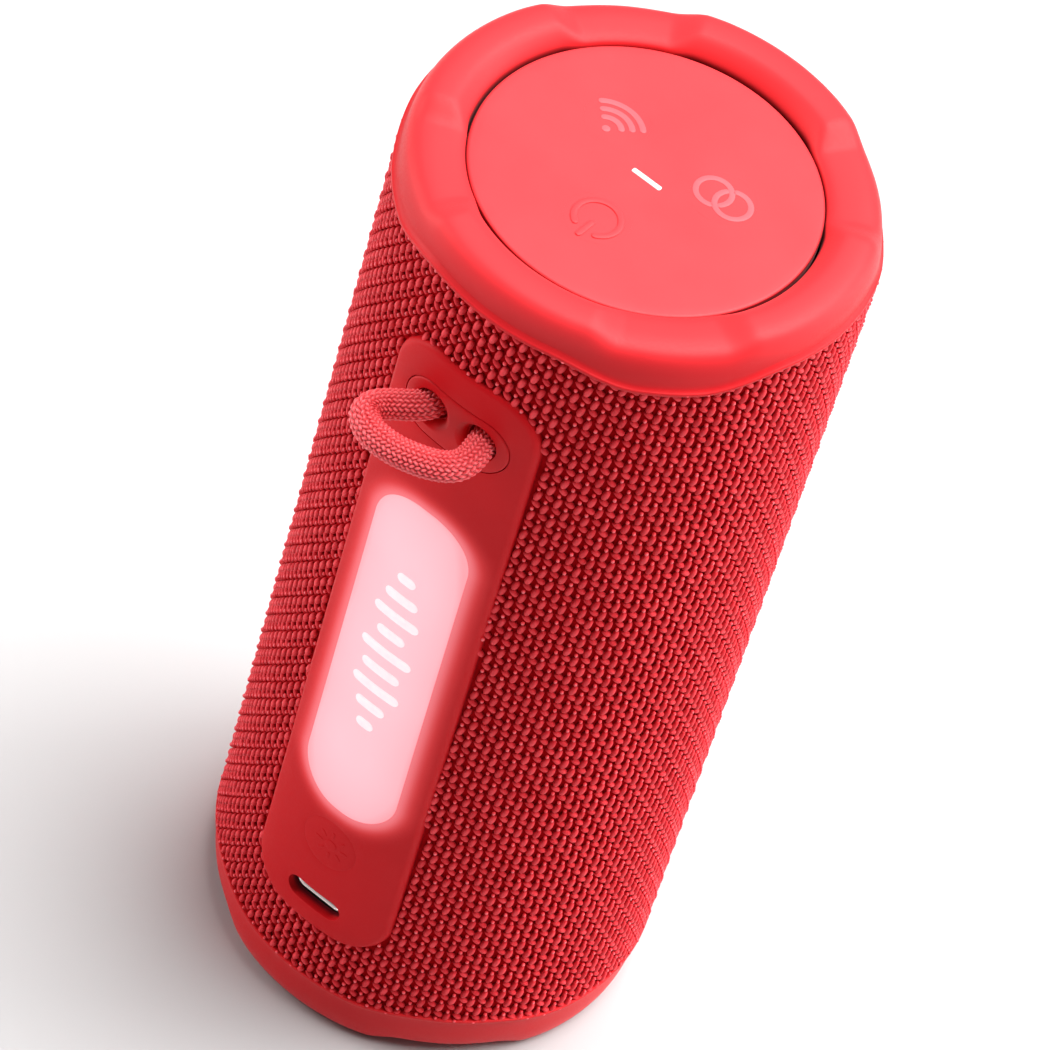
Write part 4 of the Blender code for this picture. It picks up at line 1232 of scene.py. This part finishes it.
def top_disc():
    holes = []
    for radius, degrees in TOP_KEYS.values():
        holes.append(circle(TOP_KEY_RADIUS + KEY_SEAM, *polar(radius, degrees)))
    holes.append(rounded_box(STATUS_BAR[0] + 0.05, STATUS_BAR[1] + 0.05, 0.3, spacing=0.2))
    outline = circle(DISC_RADIUS, count=320)
    disc = plate("control_disc_silicone", [(outline, holes)], on_top, -DISC_THICKNESS, 0.0, 0.55,
                 hole_rounding=0.0, spacing=1.1, steps=6)
    finish_piece(disc, "body", "disc_silicone", ["control_disc"])
    bar = plate("status_light_bar", [rounded_box(STATUS_BAR[0], STATUS_BAR[1], 0.25, spacing=0.2)], on_top,
                -6.8, 0.02, 0.06, spacing=0.5)
    finish_piece(bar, "body", "status_diffuser", ["status_light"])


def top_keys():
    # shapes, height over the disc and look of each icon
    icons = {"power": (power_icon(), 0.16, "disc_silicone"), "pairing": (pairing_icon(), 0.05, "icon_print"),
             "link": (link_icon(), 0.05, "icon_print")}
    for name, (radius, degrees) in TOP_KEYS.items():
        x, y = polar(radius, degrees)
        profile = [(0.0, DISC_TOP), (TOP_KEY_RADIUS, DISC_TOP), (TOP_KEY_RADIUS, DISC_TOP - DISC_THICKNESS),
                   (1.6, DISC_TOP - DISC_THICKNESS), (1.6, 158.4), (0.0, 158.4)]
        key = turned(name + "_key_cap", profile, 96, lambda p: p + np.array([x, y, 0.0]))
        body = name + "_key"
        finish_piece(key, body, "disc_silicone", [body])
        icon, height, look = icons[name]
        shapes = [moved(shape, x, y) for shape in icon]
        rounding = min(0.14, height * 0.8)
        mark = plate(name + "_key_icon", shapes, on_top, -0.1, height, rounding, spacing=0.5, steps=3)
        finish_piece(mark, body, "disc_silicone", look=look)


top_disc()
top_keys()


# ---------------- front keys

def front_glyph(name):
    """A triangle, a minus or a plus."""
    if name == "play_key":
        return [dense(np.array([(1.9, 0.0), (-1.1, 1.7), (-1.1, -1.7)]), 0.3)]
    bars = [stroke(segment((-1.9, 0.0), (1.9, 0.0)), 0.36)]
    if name == "volume_up_key":
        bars.append(stroke(segment((0.0, -1.9), (0.0, 1.9)), 0.36))
    return bars


def around_front(points, height):
    """Turn a bezel to face forwards and bend it around the speaker."""
    bend = BEZEL_BEND - np.sqrt(BEZEL_BEND ** 2 - points[:, 0] ** 2)
    return np.stack([points[:, 0], points[:, 2] - bend, height - points[:, 1]], 1)


def front_keys():
    for name, height in FRONT_KEYS.items():
        profile = round_profile([(0.0, 35.05), (3.2, 35.05), (4.2, 35.2), (4.87, 35.2), (4.87, 29.2),
                                 (1.8, 29.2), (1.8, 27.8), (0.0, 27.8)], 0.5)
        key = turned(name + "_cap", profile, 96,
                     lambda p: np.stack([p[:, 0], p[:, 2], -p[:, 1] + height], 1))
        finish_piece(key, name, "front_key_silicone", [name])
        shapes = [moved(shape, 0.0, height) for shape in front_glyph(name)]
        mark = plate(name + "_glyph", shapes, facing_front, 34.9, 35.19, 0.1, spacing=0.5, steps=3)
        finish_piece(mark, name, "front_key_silicone")
        corners = [(5.05, 33.4), (5.05, 35.15), (BEZEL_OUTER, 35.0), (BEZEL_OUTER, 33.4)]
        profile = round_profile(corners, 0.25)[::-1]
        bezel = turned(name + "_bezel", profile, 96, lambda p: around_front(p, height))
        finish_piece(bezel, "body", "front_key_silicone")


front_keys()


# ---------------- bottom radiator

def bottom_radiator():
    middle = 19.8                    # radius of the rubber roll's own middle
    roll = [(22.3, 8.0), (22.3, 7.2), (21.6, 7.0)]
    for t in np.linspace(0.1, math.pi - 0.1, 16):
        roll.append((middle + 1.75 * math.cos(t), 6.95 - 1.75 * math.sin(t)))
    roll += [(18.0, 7.0), (17.3, 7.2), (17.3, 8.0), (18.3, 7.8)]
    for t in np.linspace(0.1, math.pi - 0.1, 12):
        roll.append((middle - 1.3 * math.cos(t), 7.3 - 1.2 * math.sin(t)))
    roll += [(21.3, 7.8)]
    surround = turned("radiator_surround_roll", roll[::-1], 144)
    finish_piece(surround, "body", "seal_rubber", ["radiator_surround"])
    face = [(0.0, 8.0), (17.0, 8.0), (17.0, 6.8), (16.2, 6.3), (15.6, 6.22), (14.2, 6.2), (13.8, 6.45),
            (13.2, 6.45), (12.8, 6.2), (5.2, 6.2), (4.6, 6.6), (0.0, 6.7)]
    diaphragm = turned("radiator_diaphragm_face", round_profile(face, 0.25), 144)
    finish_piece(diaphragm, "radiator", "radiator_plastic", ["radiator_diaphragm"])
    trim = round_profile([(22.6, 9.7), (25.2, 9.7), (25.2, 4.6), (22.0, 4.6), (22.0, 6.0), (22.6, 6.0)], 0.4)
    trim_ring = turned("radiator_frame_trim", trim, 144)
    finish_piece(trim_ring, "body", "radiator_plastic", ["radiator_frame"])


bottom_radiator()


# ---------------- carried-over CAD nodes

# A node's material already has its slot's name, and each slot's look goes by the same name
for node in frame["nodes"].values():
    for place in node.material_slots:
        if place.material.name in LOOKS:
            place.material = LOOKS[place.material.name]


# ---------------- floor and lights

FLOOR_REACH = 6.0                    # metres


def floor():
    mesh = bpy.data.meshes.new("floor")
    corners = [(-1, -1), (1, -1), (1, 1), (-1, 1)]
    mesh.from_pydata([(FLOOR_REACH * x, FLOOR_REACH * y, 0.0) for x, y in corners], [], [(0, 1, 2, 3)])
    item = bpy.data.objects.new("floor", mesh)
    bpy.context.scene.collection.objects.link(item)
    look = Look("floor_look", 0.7)
    look.set("Base Color", look.mix(look.noise(3.0, 2.0), (0.46, 0.46, 0.46), (0.48, 0.48, 0.48)))
    mesh.materials.append(look.material)


def area_light(name, place, aim, width, height, power):
    data = bpy.data.lights.new(name, "AREA")
    data.shape = "RECTANGLE"
    data.size = width
    data.size_y = height
    data.energy = power
    item = bpy.data.objects.new(name, data)
    bpy.context.scene.collection.objects.link(item)
    item.location = place
    item.rotation_euler = (Vector(aim) - Vector(place)).to_track_quat("-Z", "Y").to_euler()


def sun_light(name, towards, strength, spread_degrees):
    """A broad overhead light. towards points from the object to the light."""
    data = bpy.data.lights.new(name, "SUN")
    data.energy = strength
    data.angle = math.radians(spread_degrees)
    item = bpy.data.objects.new(name, data)
    bpy.context.scene.collection.objects.link(item)
    item.rotation_euler = (-Vector(towards)).to_track_quat("-Z", "Y").to_euler()


def world(strength):
    space = bpy.data.worlds.new("studio")
    bpy.context.scene.world = space
    space.use_nodes = True
    background = space.node_tree.nodes["Background"]
    background.inputs["Color"].default_value = (1.0, 1.0, 1.0, 1.0)
    background.inputs["Strength"].default_value = strength


floor()
world(0.14)
sun_light("overhead_sun", (0.25, 0.35, 0.90), 6.2, 60.0)
MIDDLE = (0.0, 0.0, 0.09)
area_light("top_softbox", (0.05, 0.25, 0.95), (0.0, 0.0, 0.10), 0.8, 0.8, 2.5)
area_light("right_softbox", (0.64, 0.64, 0.38), MIDDLE, 0.45, 0.9, 5.6)
area_light("left_softbox", (-0.76, -0.28, 0.36), MIDDLE, 0.4, 0.8, 5.4)

bpy.context.scene.view_settings.view_transform = "Standard"
